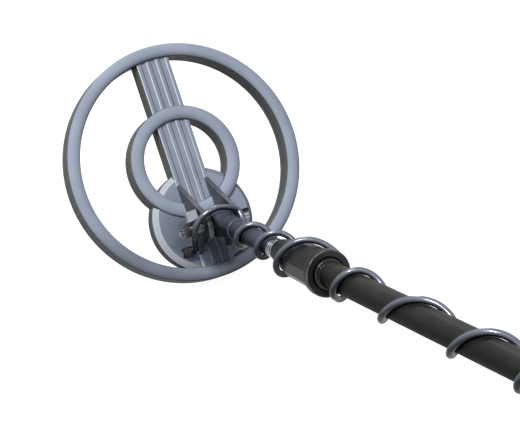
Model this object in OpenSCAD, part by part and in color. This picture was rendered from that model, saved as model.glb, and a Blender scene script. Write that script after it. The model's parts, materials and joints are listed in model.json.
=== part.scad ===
// Underground metal detector with a double ring search head, a tilting hinge,
// a telescopic shaft with a twist lock, and a lead wound round the shaft.
// Millimetres. The shaft lies along Y with the head at the +Y end, and +Z is up.

/* [Search head] */
// Outside diameter of the large ring
big_ring_d = 280; // [260:1:300]
// Width of the large ring, seen from above
big_ring_w = 15.2; // [13:0.1:20]
// Outside diameter of the small ring
small_ring_d = 131.6; // [126:0.2:138]
// Width of the small ring, seen from above
small_ring_w = 16; // [13:0.1:20]
// Height of both rings
ring_h = 30; // [26:0.5:36]
// Wall of the head mouldings
head_wall = 2.4; // [2:0.1:3]
// Rounding of the rings' top edges
ring_round = 5; // [2:0.5:6]
// Rounding of the rings' bottom edges
foot_round = 2; // [1:0.1:2]
// Drop from the rings' top down to the deck of spoke and disc
deck_drop = 5; // [3:0.5:8]
// Width of the spoke
spoke_w = 40; // [34:0.5:46]
// Number of raised ribs along the spoke
rib_count = 4; // [3:1:5]
// Width of one rib
rib_w = 5; // [3:0.1:6]
// Depth of the channels between the ribs
channel_depth = 1.2; // [0.6:0.1:2]
// Diameter of the disc at its foot
disc_d = 121.6; // [112:0.2:126]
// Diameter of the disc's flat top
disc_top_d = 109.6; // [100:0.2:114]
// Height of the sloping rim of the disc
disc_rim_h = 7; // [4:0.5:10]
// Distance from the rings' centre back to the disc's centre
disc_back = 70; // [64:0.5:74]
// Thickness of the covers that close the head from below
cover_t = 2; // [1.6:0.1:3]

/* [Head hinge] */
// Angle between the shaft and the head's plane
head_angle = 71.2; // [60:0.1:80]
// Distance from the rings' centre back to the hinge pin
hinge_back = 81; // [76:0.5:86]
// Height of the hinge pin above the rings' top
hinge_rise = 46.5; // [42:0.5:52]
// Thickness of one cheek
cheek_t = 4.8; // [3.5:0.1:6]
// Radius of a cheek round the pin
cheek_r = 16; // [14:0.5:18]
// Distance from the rings' centre back to the cheeks' front foot
cheek_front_back = 24.5; // [20:0.5:28]
// Distance from the rings' centre back to the cheeks' rear foot
cheek_rear_back = 108.5; // [106:0.5:112]
// Diameter of the hinge pin
pin_d = 8; // [6:0.5:9]
// Width of the hinge tongue
tongue_w = 26; // [22:0.5:27]
// Radius of the hinge tongue round the pin
tongue_r = 14.5; // [12:0.5:15.5]
// Side play beside each friction washer
washer_play = 0.3; // [0.2:0.1:0.6]
// Diameter of the friction washers
friction_washer_d = 25; // [20:0.5:28]
// Diameter of the clamp lever's hub
lever_hub_d = 12.4; // [11:0.2:13]

/* [Lower stem] */
// Outside diameter of the lower rod
rod_d = 22; // [20:0.2:22.2]
// Wall of the lower rod
rod_wall = 1.8; // [1.2:0.1:2.4]
// Outside diameter of the tongue's sleeve
sleeve_d = 25.2; // [24.4:0.2:27]
// Distance from the pin back to the sleeve's end
sleeve_end = 51; // [46:0.5:52]
// Length of rod gripped inside the sleeve
sleeve_grip = 18; // [10:0.5:20]
// Distance from the pin back to the lower rod's end
rod_end = 150; // [146:0.5:152]
// Length of the ringed ferrule
ferrule_l = 16; // [12:0.5:18]
// Depth of the ferrule's grooves
groove_depth = 1.4; // [0.6:0.1:1.8]
// Number of grooves in the ferrule
groove_count = 4; // [2:1:6]
// Length of the inner rod
inner_rod_l = 354; // [320:1:380]

/* [Twist lock] */
// Distance from the pin back to the lock collar's nose
nose_start = 166.5; // [164.5:0.5:168]
// Diameter of the nose's tip
nose_d = 25.2; // [24.8:0.1:26]
// Length of the sloping nose
nose_l = 43.5; // [38:0.5:46]
// Diameter of the barrel behind the nose
barrel_d = 40.6; // [38.5:0.2:42]
// Diameter of the barrel at its rear rim's foot
barrel_rear_d = 43.2; // [42.4:0.2:45]
// Diameter of the rear rim
rim_d = 48.4; // [46.5:0.2:49]
// Length from the nose to the rear face
collar_l = 113.5; // [108:0.5:116]
// Width of the rear rim
rim_l = 8; // [5:0.5:10]
// Number of finger flats round the barrel
flat_count = 10; // [6:1:14]
// Depth of the flats at the front of the barrel
flat_depth = 0.35; // [0.2:0.05:0.8]
// Length of the split collet inside
collet_l = 26; // [18:0.5:30]
// Outside diameter of the wiper ring in the rear mouth
wiper_d = 31.6; // [30.4:0.2:33]

/* [Shaft tube] */
// Outside diameter of the shaft tube
tube_d = 27; // [26.4:0.1:28]
// Wall of the shaft tube
tube_wall = 2.1; // [1.2:0.1:2.2]
// Distance from the pin back to the tube's front end
tube_front = 200; // [198:0.5:206]

/* [Lead] */
// Diameter of the lead
lead_d = 6.8; // [6:0.1:7]
// Gap between the lead and what it is wound on
lead_gap = 0.3; // [0.2:0.1:0.6]
// Distance from the pin back to the lead clip
clip_station = 766; // [765:0.5:768]

/* [Handle and control unit] */
// Distance from the pin back to the middle of the handle clamp
grip_station = 872; // [866:1:890]
// Length of the handle clamp
clamp_l = 50; // [40:1:60]
// Width of the handle clamp
clamp_w = 46; // [44:0.5:54]
// Height of one half of the handle clamp
clamp_h = 19; // [18:0.5:24]
// Forward lean of the grip
grip_lean = 12; // [6:1:16]
// Length of the grip's core along its lean
grip_l = 104; // [98:1:112]
// Width of the grip's core
grip_w = 24; // [20:0.5:28]
// Depth of the grip's core, front to back
grip_depth = 34; // [30:0.5:38]
// Thickness of the foam sleeve
foam_t = 5; // [3:0.5:6]
// Backward tilt of the control unit
pod_tilt = 25; // [15:1:30]
// Width of the control unit
pod_w = 100; // [92:1:112]
// Length of the control unit
pod_l = 116; // [110:1:124]
// Height of the control unit's base
pod_base_h = 22; // [20:0.5:28]
// Height of the control unit's cover
pod_cover_h = 16; // [14:0.5:20]
// Corner radius of the control unit
pod_r = 12; // [8:0.5:14]
// Wall of the control unit
pod_wall = 2.5; // [2:0.1:3]
// Width of the display window
window_w = 64; // [50:1:70]
// Length of the display window
window_l = 34; // [26:1:36]
// Diameter of the push buttons
button_d = 11; // [8:0.5:13]
// Travel of a push button
button_travel = 1.2; // [0.6:0.1:1.4]
// Diameter of the two turning knobs
knob_d = 17; // [14:0.5:20]

/* [Arm rest and battery box] */
// Distance from the pin back to the middle of the arm cup
cup_station = 1040; // [1036:1:1042]
// Inside diameter of the arm cup
cup_d = 94; // [88:1:100]
// Wall of the arm cup
cup_wall = 3; // [2.5:0.1:4]
// Length of the arm cup
cup_l = 96; // [80:1:98]
// Thickness of the pad in the arm cup
pad_t = 4; // [2:0.5:6]
// Width of the arm strap
strap_w = 38; // [25:1:45]
// Length of the arm cup's saddle
saddle_l = 60; // [50:1:62]
// Distance from the pin back to the battery box's front face
box_front = 1097; // [1097:1:1104]
// Length of the battery box
box_l = 76; // [74:1:84]
// Width of the battery box
box_w = 72; // [70:0.5:80]
// Height of the battery box below its saddle
box_h = 44; // [42:0.5:48]
// Wall of the battery box
box_wall = 2.5; // [2:0.1:3]
// Thickness of the battery door
door_t = 3; // [2:0.1:4]
// Half of the distance between the two rubber feet
foot_span = 54; // [48:0.5:60]
// Diameter of a rubber foot
foot_d = 20; // [16:0.5:24]
// Height of a rubber foot
foot_h = 5; // [3:0.5:7]

/* [Hidden] */

$fn = 64;
eps = 0.01;
fit_gap = 0.15;

ring_r = big_ring_d / 2;
ring_ir = ring_r - big_ring_w;
small_r = small_ring_d / 2;
small_ir = small_r - small_ring_w;
disc_r = disc_d / 2;
disc_top_r = disc_top_d / 2;
deck_z = -deck_drop;
base_z = -ring_h;
deck_wall = head_wall + channel_depth;
hinge_y = -hinge_back;
hinge_z = hinge_rise;

// The head stands on the rear of its large ring, so that sets the shaft's height.
ring_foot_y = -(ring_r - foot_round) - hinge_y;
ring_foot_z = base_z + foot_round - hinge_z;
axis_z = foot_round - ring_foot_y * sin(head_angle) - ring_foot_z * cos(head_angle);
head_front_y = (ring_r - foot_round - hinge_y) * cos(head_angle)
    - (base_z + foot_round - hinge_z) * sin(head_angle) + foot_round;
end_plug_t = 3;
run_gap = 0.3;
box_rear = box_front + box_l;
tube_rear = box_rear - end_plug_t;
rear_most = box_rear + door_t + run_gap;
hinge_row_y = (rear_most - head_front_y) / 2;

lead_r = lead_d / 2;
lead_sides = 6;
lead_steps = 24;
on_rod = rod_d / 2 + lead_r + lead_gap;
on_sleeve = sleeve_d / 2 + lead_r + lead_gap;
on_nose = nose_d / 2 + lead_r + lead_gap;
on_barrel = barrel_d / 2 + lead_r + lead_gap;
on_rim = rim_d / 2 + lead_r + lead_gap;
on_tube = tube_d / 2 + lead_r + lead_gap;

// Angle round the shaft at which the lead's turns are counted from, seen from the rear.
turn_zero = 229.3;
// Turn number, distance behind the pin and radius of the wound lead, turn by turn.
winding = [
    [0.53, 17, on_sleeve + 4.6],
    [0.58, 21, on_sleeve + 3.1],
    [0.64, 27, on_sleeve + 0.9],
    [0.75, 41, on_sleeve + 0.3],
    [0.84, 52, on_sleeve + 0.3],
    [1, 71, on_rod + 0.1],
    [1.5, 99.5, on_rod],
    [2, 129, on_rod + 0.3],
    [2.5, 157, on_nose + 0.9],
    [2.75, 173, on_nose + 2.7],
    [3, 190, on_nose + 4.9],
    [3.25, 216.5, on_barrel + 0.6],
    [3.5, 240, on_barrel + 0.9],
    [3.75, 274, on_rim + 0.5],
    [3.79, 279.5, on_rim + 0.4],
    [4, 310, on_tube],
    [4.25, 333.5, on_tube],
    [4.5, 349, on_tube],
    [5, 407, on_tube],
    [5.5, 477, on_tube],
    [6, 532, on_tube],
    [6.5, 594, on_tube],
    [7, 640, on_tube],
    [8, 729, on_tube],
    [8.387, 758, on_tube]
];
stem_turn = 0.75;
shaft_turn = 2.75;
last_turn = 8.387;

// The lead's way up from the gland and over the hinge, in the head's own frame.
gland_foot = [-36, -101, -0.5];
gland_lift = 35;
gland_l = 9;
gland_r = 5.4;
gland_gap = 0.7;
lead_over_hinge = [
    [-27, -102, 11],
    [-29, -98.5, 20],
    [-31.5, -95, 30],
    [-34, -92, 40.5],
    [-36, -89, 50],
    [-36.5, -85.5, 56],
    [-34, -78, 62.5],
    [-28.5, -72, 66],
    [-22, -68.5, 69],
    [-15.8, -67, 71],
    [-5.7, -66, 71.5],
    [4.6, -68.6, 71.3]
];

// Where the plug hangs under the control unit, across, forward and up from its bottom.
plug_seat = [0, 40, 0];
plug_l = 22;

function to_row(p) = [p.x,
    hinge_row_y + (p.y - hinge_y) * cos(head_angle) - (p.z - hinge_z) * sin(head_angle),
    axis_z + (p.y - hinge_y) * sin(head_angle) + (p.z - hinge_z) * cos(head_angle)];
function station(x, d, up) = [x, hinge_row_y - d, axis_z + up];

function key_at(k, u, i = 0) = i >= len(k) - 2 || u < k[i + 1][0] ? i : key_at(k, u, i + 1);
function rise(k, i, c) = (k[i + 1][c] - k[i][c]) / (k[i + 1][0] - k[i][0]);
function even_slope(a, b) = a * b <= 0 ? 0 : 2 * a * b / (a + b);
function slope(k, i, c) = i == 0 ? rise(k, 0, c)
    : i == len(k) - 1 ? rise(k, i - 1, c) : even_slope(rise(k, i - 1, c), rise(k, i, c));
function smooth(k, u, c) = let (
        i = key_at(k, u), h = k[i + 1][0] - k[i][0], t = (u - k[i][0]) / h,
        a = slope(k, i, c) * h, b = slope(k, i + 1, c) * h)
    (2 * t ^ 3 - 3 * t ^ 2 + 1) * k[i][c] + (t ^ 3 - 2 * t ^ 2 + t) * a
    + (3 * t ^ 2 - 2 * t ^ 3) * k[i + 1][c] + (t ^ 3 - t ^ 2) * b;
function wound(u) = let (
        a = turn_zero - 360 * u, d = smooth(winding, u, 1), r = smooth(winding, u, 2))
    station(r * cos(a), d, r * sin(a));
function wound_between(u0, u1) = let (n = round((u1 - u0) * lead_steps))
    [for (i = [0:n]) wound(u0 + (u1 - u0) * i / n)];

function curve_point(a, b, c, d, t) = 0.5 * (2 * b + (c - a) * t
    + (2 * a - 5 * b + 4 * c - d) * t ^ 2 + (3 * b - a - 3 * c + d) * t ^ 3);
function curve(p, steps) = [for (i = [1:len(p) - 3]) for (j = [0:steps - 1])
    curve_point(p[i - 1], p[i], p[i + 1], p[i + 2], j / steps)];

function unit(v) = v / norm(v);
function heading(p, i) = unit(p[min(i + 1, len(p) - 1)] - p[max(i - 1, 0)]);
function carry(side, way) = unit(side - (side * way) * way);
function sides_along(p, ways, side, i = 0) = i == len(p) ? []
    : let (s = carry(side, ways[i])) concat([s], sides_along(p, ways, s, i + 1));
function length_of(p, i = 1) = i == len(p) ? 0 : norm(p[i] - p[i - 1]) + length_of(p, i + 1);
function self_gap(p, apart) = min([for (i = [0:len(p) - 1]) for (j = [i + apart:1:len(p) - 1])
    norm(p[i] - p[j])]) - lead_d;

// A tube of lead_sides sides along points p, with given headings at its two ends.
module lead_tube(p, first_way, last_way) {
    n = len(p);
    ways = [for (i = [0:n - 1]) i == 0 ? first_way : i == n - 1 ? last_way : heading(p, i)];
    across = sides_along(p, ways, carry([0.3, 0.2, 1], ways[0]));
    rings = [for (i = [0:n - 1]) for (k = [0:lead_sides - 1])
        let (b = cross(ways[i], across[i]), a = 360 * k / lead_sides)
        p[i] + lead_r * (cos(a) * across[i] + sin(a) * b)];
    walls = [for (i = [0:n - 2]) for (k = [0:lead_sides - 1]) let (
            a = i * lead_sides + k, b = i * lead_sides + (k + 1) % lead_sides)
        each [[a, a + lead_sides, b], [b, a + lead_sides, b + lead_sides]]];
    ends = [for (k = [1:lead_sides - 2])
        each [[0, k, k + 1],
            [(n - 1) * lead_sides, (n - 1) * lead_sides + k + 1, (n - 1) * lead_sides + k]]];
    polyhedron(points = rings, faces = concat(walls, ends), convexity = 10);
}

module at_head() {
    translate([0, hinge_row_y, axis_z])
        rotate([head_angle, 0, 0])
            translate([0, -hinge_y, -hinge_z])
                children();
}

// Children turn about the shaft's axis, with their +Z pointing to the rear.
module along_shaft(d) {
    translate([0, hinge_row_y - d, axis_z])
        rotate([90, 0, 0])
            children();
}

module at_station(d) {
    translate([0, hinge_row_y - d, axis_z])
        children();
}

module x_rod(x0, x1, r) {
    translate([x0, 0, 0])
        rotate([0, 90, 0])
            cylinder(r = r, h = x1 - x0);
}

module rounded_plate(w, l, h, r) {
    linear_extrude(height = h) {
        square([w - 2 * r, l], center = true);
        square([w, l - 2 * r], center = true);
        for (x = [-1, 1], y = [-1, 1])
            translate([x * (w / 2 - r), y * (l / 2 - r)])
                circle(r = r);
    }
}

module stadium(w, l, h) {
    linear_extrude(height = h) {
        square([w, l - w], center = true);
        for (y = [-1, 1])
            translate([0, y * (l - w) / 2])
                circle(r = w / 2);
    }
}

// Section of a ring moulding: rounded above and below, and open underneath.
module ring_section(w) {
    difference() {
        union() {
            translate([0, base_z + foot_round])
                square([w, ring_h - foot_round - ring_round]);
            translate([ring_round, -ring_round])
                square([w - 2 * ring_round, ring_round]);
            translate([foot_round, base_z])
                square([w - 2 * foot_round, foot_round]);
            for (x = [ring_round, w - ring_round])
                translate([x, -ring_round])
                    circle(r = ring_round);
            for (x = [foot_round, w - foot_round])
                translate([x, base_z + foot_round])
                    circle(r = foot_round);
        }
        translate([head_wall, base_z - 1])
            square([w - 2 * head_wall, ring_h - head_wall - 1 + 1]);
    }
}

module ring_moulding(outer_r, w) {
    rotate_extrude($fn = 128)
        translate([outer_r - w, 0])
            ring_section(w);
}

module flat_ring(r0, r1, z0, z1) {
    translate([0, 0, z0])
        difference() {
            cylinder(r = r1, h = z1 - z0, $fn = 128);
            translate([0, 0, -1])
                cylinder(r = r0, h = z1 - z0 + 2, $fn = 128);
        }
}

module outer_ring() {
    color([0.60, 0.64, 0.71])
        at_head()
            ring_moulding(ring_r, big_ring_w);
}

module outer_ring_cover() {
    color([0.40, 0.43, 0.48])
        at_head()
            flat_ring(ring_ir + head_wall + fit_gap, ring_r - head_wall - fit_gap,
                base_z, base_z + cover_t);
}

// A coil lies on its cover, below the moulding's roof.
module coil(r0, r1) {
    flat_ring(r0, r1, base_z + cover_t, -head_wall - 9);
}

module transmit_coil() {
    color([0.72, 0.42, 0.22])
        at_head()
            coil(ring_ir + head_wall + 1.2, ring_r - head_wall - 1.2);
}

module inner_ring() {
    color([0.60, 0.64, 0.71])
        at_head()
            ring_moulding(small_r, small_ring_w);
}

module inner_ring_cover() {
    color([0.40, 0.43, 0.48])
        at_head()
            flat_ring(small_ir + head_wall + fit_gap, small_r - head_wall - fit_gap,
                base_z, base_z + cover_t);
}

module receive_coil() {
    color([0.72, 0.42, 0.22])
        at_head()
            coil(small_ir + head_wall + 1.2, small_r - head_wall - 1.2);
}

module disc_body() {
    translate([0, -disc_back, 0]) {
        translate([0, 0, base_z])
            cylinder(r = disc_r, h = ring_h - deck_drop - disc_rim_h, $fn = 128);
        translate([0, 0, deck_z - disc_rim_h])
            cylinder(r1 = disc_r, r2 = disc_top_r, h = disc_rim_h, $fn = 128);
    }
}

module spoke_body(y0, y1) {
    translate([-spoke_w / 2, y0, base_z])
        cube([spoke_w, y1 - y0, ring_h - deck_drop]);
}

// Channels between the ribs, cut along the whole deck.
module channels() {
    pitch = (spoke_w - rib_w) / (rib_count - 1);
    for (i = [0:rib_count - 2])
        translate([-spoke_w / 2 + rib_w + i * pitch, -ring_r, deck_z - channel_depth])
            cube([pitch - rib_w, 2 * ring_r, channel_depth + 1]);
}

// Hollow under the deck, open below, with a wall left all round.
module disc_hollow() {
    translate([0, -disc_back, base_z - 1])
        cylinder(r = disc_top_r - head_wall, h = ring_h - deck_drop - deck_wall + 1, $fn = 128);
}

module spoke_hollow(y0, y1) {
    translate([-spoke_w / 2 + head_wall, y0, base_z - 1])
        cube([spoke_w - 2 * head_wall, y1 - y0, ring_h - deck_drop - deck_wall + 1]);
}

module within(r) {
    translate([0, 0, base_z - 2])
        cylinder(r = r, h = ring_h + 4, $fn = 128);
}

module spoke_front_plan(edge) {
    intersection() {
        children();
        difference() {
            within(ring_ir - edge);
            within(small_r + edge);
        }
    }
}

module spoke_front() {
    color([0.57, 0.62, 0.69])
        at_head()
            difference() {
                spoke_front_plan(fit_gap)
                    spoke_body(0, ring_r);
                spoke_front_plan(head_wall + fit_gap)
                    spoke_hollow(0, ring_r);
                channels();
            }
}

module disc_front() {
    color([0.50, 0.54, 0.62])
        at_head()
            difference() {
                intersection() {
                    within(small_ir - fit_gap);
                    union() {
                        disc_body();
                        spoke_body(-disc_back, small_r);
                    }
                }
                intersection() {
                    within(small_ir - head_wall);
                    union() {
                        disc_hollow();
                        spoke_hollow(-disc_back, small_r);
                    }
                }
                channels();
                cheek_screw_holes(cheek_screw_front);
            }
}

recess_size = [11, 5, 3];
recess_at = [49.5, -75.3];
ridge_rows = [-80.3, -84];
ridge_w = 1.1;
ridge_h = 0.9;
cheek_screw_rear = -92;
cheek_screw_r = 1.5;
cheek_screw_head_r = 2.8;
cheek_screw_room = 4.5;
cheek_inner_x = spoke_w / 2 - cheek_t;
cheek_screw_x = cheek_inner_x + cheek_t / 2;
cheek_screw_front = -sqrt((small_ir - head_wall - cheek_screw_head_r - cheek_screw_room) ^ 2
    - cheek_screw_x ^ 2);

module cheek_screw_holes(y) {
    for (x = [-1, 1])
        translate([x * cheek_screw_x, y, deck_z - deck_wall - 1])
            cylinder(r = cheek_screw_r + 0.1, h = deck_wall + 2, $fn = 24);
}

post_spots = [[-36, -92], [36, -92], [-28, -108], [28, -108]];
board_spots = [[-14, -84], [14, -84]];
post_r = 3.5;
post_hole_r = 1.2;
hollow_top_z = deck_z - deck_wall;

module disc_posts() {
    for (p = post_spots)
        translate([p.x, p.y, base_z + cover_t])
            cylinder(r = post_r, h = hollow_top_z - base_z - cover_t + eps, $fn = 32);
    for (p = board_spots)
        translate([p.x, p.y, hollow_top_z - 4])
            cylinder(r = post_r, h = 4 + eps, $fn = 32);
}

module disc_housing() {
    color([0.50, 0.54, 0.62])
        at_head()
            difference() {
                union() {
                    difference() {
                        spoke_front_plan(fit_gap)
                            union() {
                                disc_body();
                                spoke_body(-ring_r, -disc_back);
                            }
                        spoke_front_plan(head_wall + fit_gap)
                            disc_hollow();
                    }
                    disc_posts();
                }
                channels();
                cheek_screw_holes(cheek_screw_rear);
                for (p = post_spots)
                    translate([p.x, p.y, base_z])
                        cylinder(r = post_hole_r, h = 12, $fn = 24);
                translate([recess_at.x - recess_size.x / 2, recess_at.y - recess_size.y / 2,
                        deck_z - recess_size.z])
                    cube([recess_size.x, recess_size.y, recess_size.z + 8]);
            }
    color([0.50, 0.54, 0.62])
        at_head()
            for (y = ridge_rows)
                translate([recess_at.x - 4, y - ridge_w / 2, deck_z - eps])
                    cube([8, ridge_w, ridge_h + eps]);
}

module disc_cover() {
    color([0.40, 0.43, 0.48])
        at_head()
            difference() {
                spoke_front_plan(head_wall + 2 * fit_gap)
                    translate([0, -disc_back, base_z])
                        cylinder(r = disc_top_r - head_wall - fit_gap, h = cover_t, $fn = 128);
                for (p = post_spots)
                    translate([p.x, p.y, base_z - 1])
                        cylinder(r = 1.7, h = cover_t + 2, $fn = 24);
            }
}

module spoke_covers() {
    color([0.40, 0.43, 0.48])
        at_head() {
            spoke_front_plan(head_wall + 2 * fit_gap)
                translate([-spoke_w / 2 + head_wall + fit_gap, 0, base_z])
                    cube([spoke_w - 2 * head_wall - 2 * fit_gap, ring_r, cover_t]);
            intersection() {
                within(small_ir - head_wall - fit_gap);
                union() {
                    translate([0, -disc_back, base_z])
                        cylinder(r = disc_top_r - head_wall - fit_gap, h = cover_t, $fn = 128);
                    translate([-spoke_w / 2 + head_wall + fit_gap, -disc_back, base_z])
                        cube([spoke_w - 2 * head_wall - 2 * fit_gap, small_r + disc_back, cover_t]);
                }
            }
        }
}

module cover_screws() {
    color([0.75, 0.76, 0.78])
        at_head()
            for (p = post_spots)
                translate([p.x, p.y, base_z]) {
                    cylinder(r = 1.6, h = cover_t - 0.4, $fn = 24);
                    cylinder(r = post_hole_r - 0.1, h = 10, $fn = 24);
                }
}

module signal_board() {
    color([0.10, 0.36, 0.20])
        at_head()
            translate([-24, -100, hollow_top_z - 4 - 1.6]) {
                cube([48, 24, 1.6]);
                translate([8, 6, -2])
                    cube([10, 8, 2 + eps]);
                translate([26, 8, -3.5])
                    cube([12, 6, 3.5 + eps]);
            }
}

// Point where the line from p touches the circle of radius r round c.
function touch(p, c, r, turn) = let (
        away = c - p, far = norm(away), lift = turn * asin(r / far),
        way = atan2(away.y, away.x) + lift, reach = sqrt(far * far - r * r))
    p + reach * [cos(way), sin(way)];

module cheek() {
    pin = [hinge_y, hinge_z];
    front = [-cheek_front_back, deck_z];
    rear = [-cheek_rear_back, deck_z];
    rotate([90, 0, 90])
        linear_extrude(height = cheek_t) {
            polygon([front, touch(front, pin, cheek_r, -1), pin,
                touch(rear, pin, cheek_r, 1), rear]);
            translate(pin)
                circle(r = cheek_r);
        }
}

module cheek_at(x) {
    color([0.24, 0.25, 0.27])
        at_head()
            difference() {
                translate([x, 0, 0])
                    cheek();
                flat_ring(small_ir - fit_gap, small_r + fit_gap, deck_z - 1, fit_gap);
                translate([0, hinge_y, hinge_z])
                    x_rod(-ring_r, ring_r, pin_d / 2 + fit_gap);
                for (y = [cheek_screw_front, cheek_screw_rear])
                    translate([x + cheek_t / 2, y, deck_z - 1])
                        cylinder(r = cheek_screw_r + 0.1, h = 9.2, $fn = 24);
            }
}

module left_cheek() {
    cheek_at(-spoke_w / 2);
}

module right_cheek() {
    cheek_at(cheek_inner_x);
}

module cheek_screws() {
    color([0.75, 0.76, 0.78])
        at_head()
            for (x = [-1, 1], y = [cheek_screw_front, cheek_screw_rear])
                translate([x * cheek_screw_x, y, hollow_top_z - 2]) {
                    cylinder(r = cheek_screw_head_r, h = 2, $fn = 32);
                    cylinder(r = cheek_screw_r, h = deck_wall + 9, $fn = 32);
                }
}

washer_t = 1.3;
bolt_head_x = spoke_w / 2 + fit_gap + washer_t;
spacer_x = spoke_w / 2 + fit_gap;
spacer_l = 18.5;
spacer_r = pin_d / 2 + 1;
hub_x = spacer_x + spacer_l + 0.2;
hub_l = 5.5;
nut_x = hub_x + hub_l + 0.2;
nut_l = 4;
block_size = [12, 11, 8];
block_at = [-34, 11, -12.5];

module at_pin() {
    translate([0, hinge_row_y, axis_z])
        rotate([head_angle, 0, 0])
            children();
}

module hinge_bolt() {
    color([0.62, 0.63, 0.65])
        at_pin() {
            x_rod(-nut_x - nut_l - 1.5, bolt_head_x + 1, pin_d / 2);
            translate([bolt_head_x, 0, 0])
                rotate([0, 90, 0])
                    cylinder(r = 7.5, h = 5.5, $fn = 6);
        }
}

module bolt_washer() {
    color([0.70, 0.71, 0.73])
        at_pin()
            difference() {
                x_rod(spoke_w / 2 + fit_gap, bolt_head_x, 9);
                x_rod(0, bolt_head_x + 1, pin_d / 2 + fit_gap);
            }
}

module pin_spacer() {
    color([0.55, 0.56, 0.58])
        at_pin()
            difference() {
                x_rod(-spacer_x - spacer_l, -spacer_x, spacer_r);
                x_rod(-spacer_x - spacer_l - 1, -spacer_x + 1, pin_d / 2 + fit_gap);
            }
}

// Gland on the disc: foot, six-sided nut and cap, lying along the lead's first run.
module lead_gland() {
    color([0.20, 0.21, 0.23])
        at_head()
            difference() {
                intersection() {
                    union() {
                        hull() {
                            at_gland()
                                cylinder(r = gland_r, h = 2, $fn = 48);
                            translate([gland_foot.x, gland_foot.y, deck_z])
                                cylinder(r = gland_r, h = 1, $fn = 48);
                        }
                        at_gland() {
                            cylinder(r = gland_r + 1, h = 5.2, $fn = 6);
                            cylinder(r = gland_r - 0.4, h = gland_l, $fn = 48);
                        }
                    }
                    translate([-ring_r, -ring_r, deck_z])
                        cube([ring_r, ring_r, ring_r]);
                }
                at_gland()
                    translate([0, 0, -gland_l])
                        cylinder(r = lead_r + gland_gap, h = 3 * gland_l, $fn = 48);
            }
}

module at_gland() {
    translate(gland_foot)
        rotate([0, 90 - gland_lift, 0])
            children();
}

// Lever on the pin's left end: hub, bent neck and a square thumb block.
module clamp_lever() {
    color([0.62, 0.66, 0.73])
        at_pin()
            difference() {
                union() {
                    x_rod(-hub_x - hub_l, -hub_x, lever_hub_d / 2);
                    hull() {
                        translate([-hub_x - hub_l, 2, -6])
                            cube([hub_l, 3, 6]);
                        translate([block_at.x, block_at.y - 1, block_at.z])
                            cube([6, 2, block_size.z]);
                    }
                    translate(block_at)
                        cube(block_size);
                }
                x_rod(-hub_x - hub_l - 1, -hub_x + 1, pin_d / 2 + fit_gap);
                x_rod(-hub_x + 0.1, -spacer_x, spacer_r + run_gap);
            }
}

module lever_nut() {
    color([0.70, 0.71, 0.73])
        at_pin()
            difference() {
                x_rod(-nut_x - nut_l, -nut_x, 5.6);
                x_rod(-nut_x - nut_l - 1, -nut_x + 1, pin_d / 2 + fit_gap / 2);
            }
}

module hinge_tongue() {
    spigot = sleeve_end - sleeve_grip;
    color([0.34, 0.35, 0.39])
        difference() {
            union() {
                hull() {
                    at_station(0)
                        x_rod(-tongue_w / 2, tongue_w / 2, tongue_r);
                    along_shaft(spigot - 3)
                        cylinder(r = sleeve_d / 2, h = 1);
                }
                along_shaft(spigot - 3)
                    cylinder(r = sleeve_d / 2, h = sleeve_end - spigot + 3);
            }
            at_station(0)
                x_rod(-tongue_w, tongue_w, pin_d / 2 + fit_gap);
            along_shaft(spigot)
                cylinder(r = rod_d / 2 + fit_gap, h = sleeve_end);
        }
}

// One rubber washer each side of the tongue, filling most of the way to the cheek.
module friction_washers() {
    outer_x = cheek_inner_x - washer_play;
    color([0.12, 0.12, 0.13])
        at_station(0)
            for (side = [-1, 1])
                difference() {
                    x_rod(side > 0 ? tongue_w / 2 : -outer_x, side > 0 ? outer_x : -tongue_w / 2,
                        friction_washer_d / 2);
                    x_rod(-spoke_w, spoke_w, pin_d / 2 + fit_gap);
                }
}

module lower_rod() {
    color([0.40, 0.41, 0.47])
        along_shaft(sleeve_end - sleeve_grip)
            difference() {
                cylinder(r = rod_d / 2, h = rod_end - sleeve_end + sleeve_grip);
                translate([0, 0, -1])
                    cylinder(r = rod_d / 2 - rod_wall, h = rod_end);
            }
}

ferrule_plug_l = 20;
ferrule_end = rod_end + ferrule_l;

module ferrule() {
    ring_w = ferrule_l / (2 * groove_count);
    color([0.82, 0.83, 0.85])
        difference() {
            union() {
                along_shaft(rod_end - ferrule_plug_l)
                    cylinder(r = rod_d / 2 - rod_wall - 0.1, h = ferrule_l + 2 * ferrule_plug_l);
                along_shaft(rod_end)
                    cylinder(r = rod_d / 2, h = ferrule_l);
            }
            for (i = [0:groove_count - 1])
                along_shaft(rod_end + (2 * i + 0.5) * ring_w)
                    difference() {
                        cylinder(r = rod_d, h = ring_w);
                        translate([0, 0, -1])
                            cylinder(r = rod_d / 2 - groove_depth, h = ring_w + 2);
                    }
            along_shaft(0)
                cylinder(r = 6, h = tube_rear);
        }
}

module inner_rod() {
    color([0.66, 0.67, 0.69])
        along_shaft(ferrule_end)
            difference() {
                cylinder(r = rod_d / 2 - 0.1, h = inner_rod_l);
                translate([0, 0, -1])
                    cylinder(r = rod_d / 2 - rod_wall, h = inner_rod_l + 2);
            }
}

module rod_bush() {
    color([0.88, 0.88, 0.85])
        along_shaft(ferrule_end + inner_rod_l - 14)
            difference() {
                union() {
                    cylinder(r = rod_d / 2 - rod_wall - 0.1, h = 14);
                    translate([0, 0, 14])
                        cylinder(r = tube_d / 2 - tube_wall - run_gap, h = 6);
                }
                translate([0, 0, -1])
                    cylinder(r = 4, h = 40);
            }
}

collar_bore_r = rod_d / 2 + run_gap + 0.05;
collet_r = tube_d / 2 - 0.3;
collet_start = tube_front - collet_l;

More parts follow.
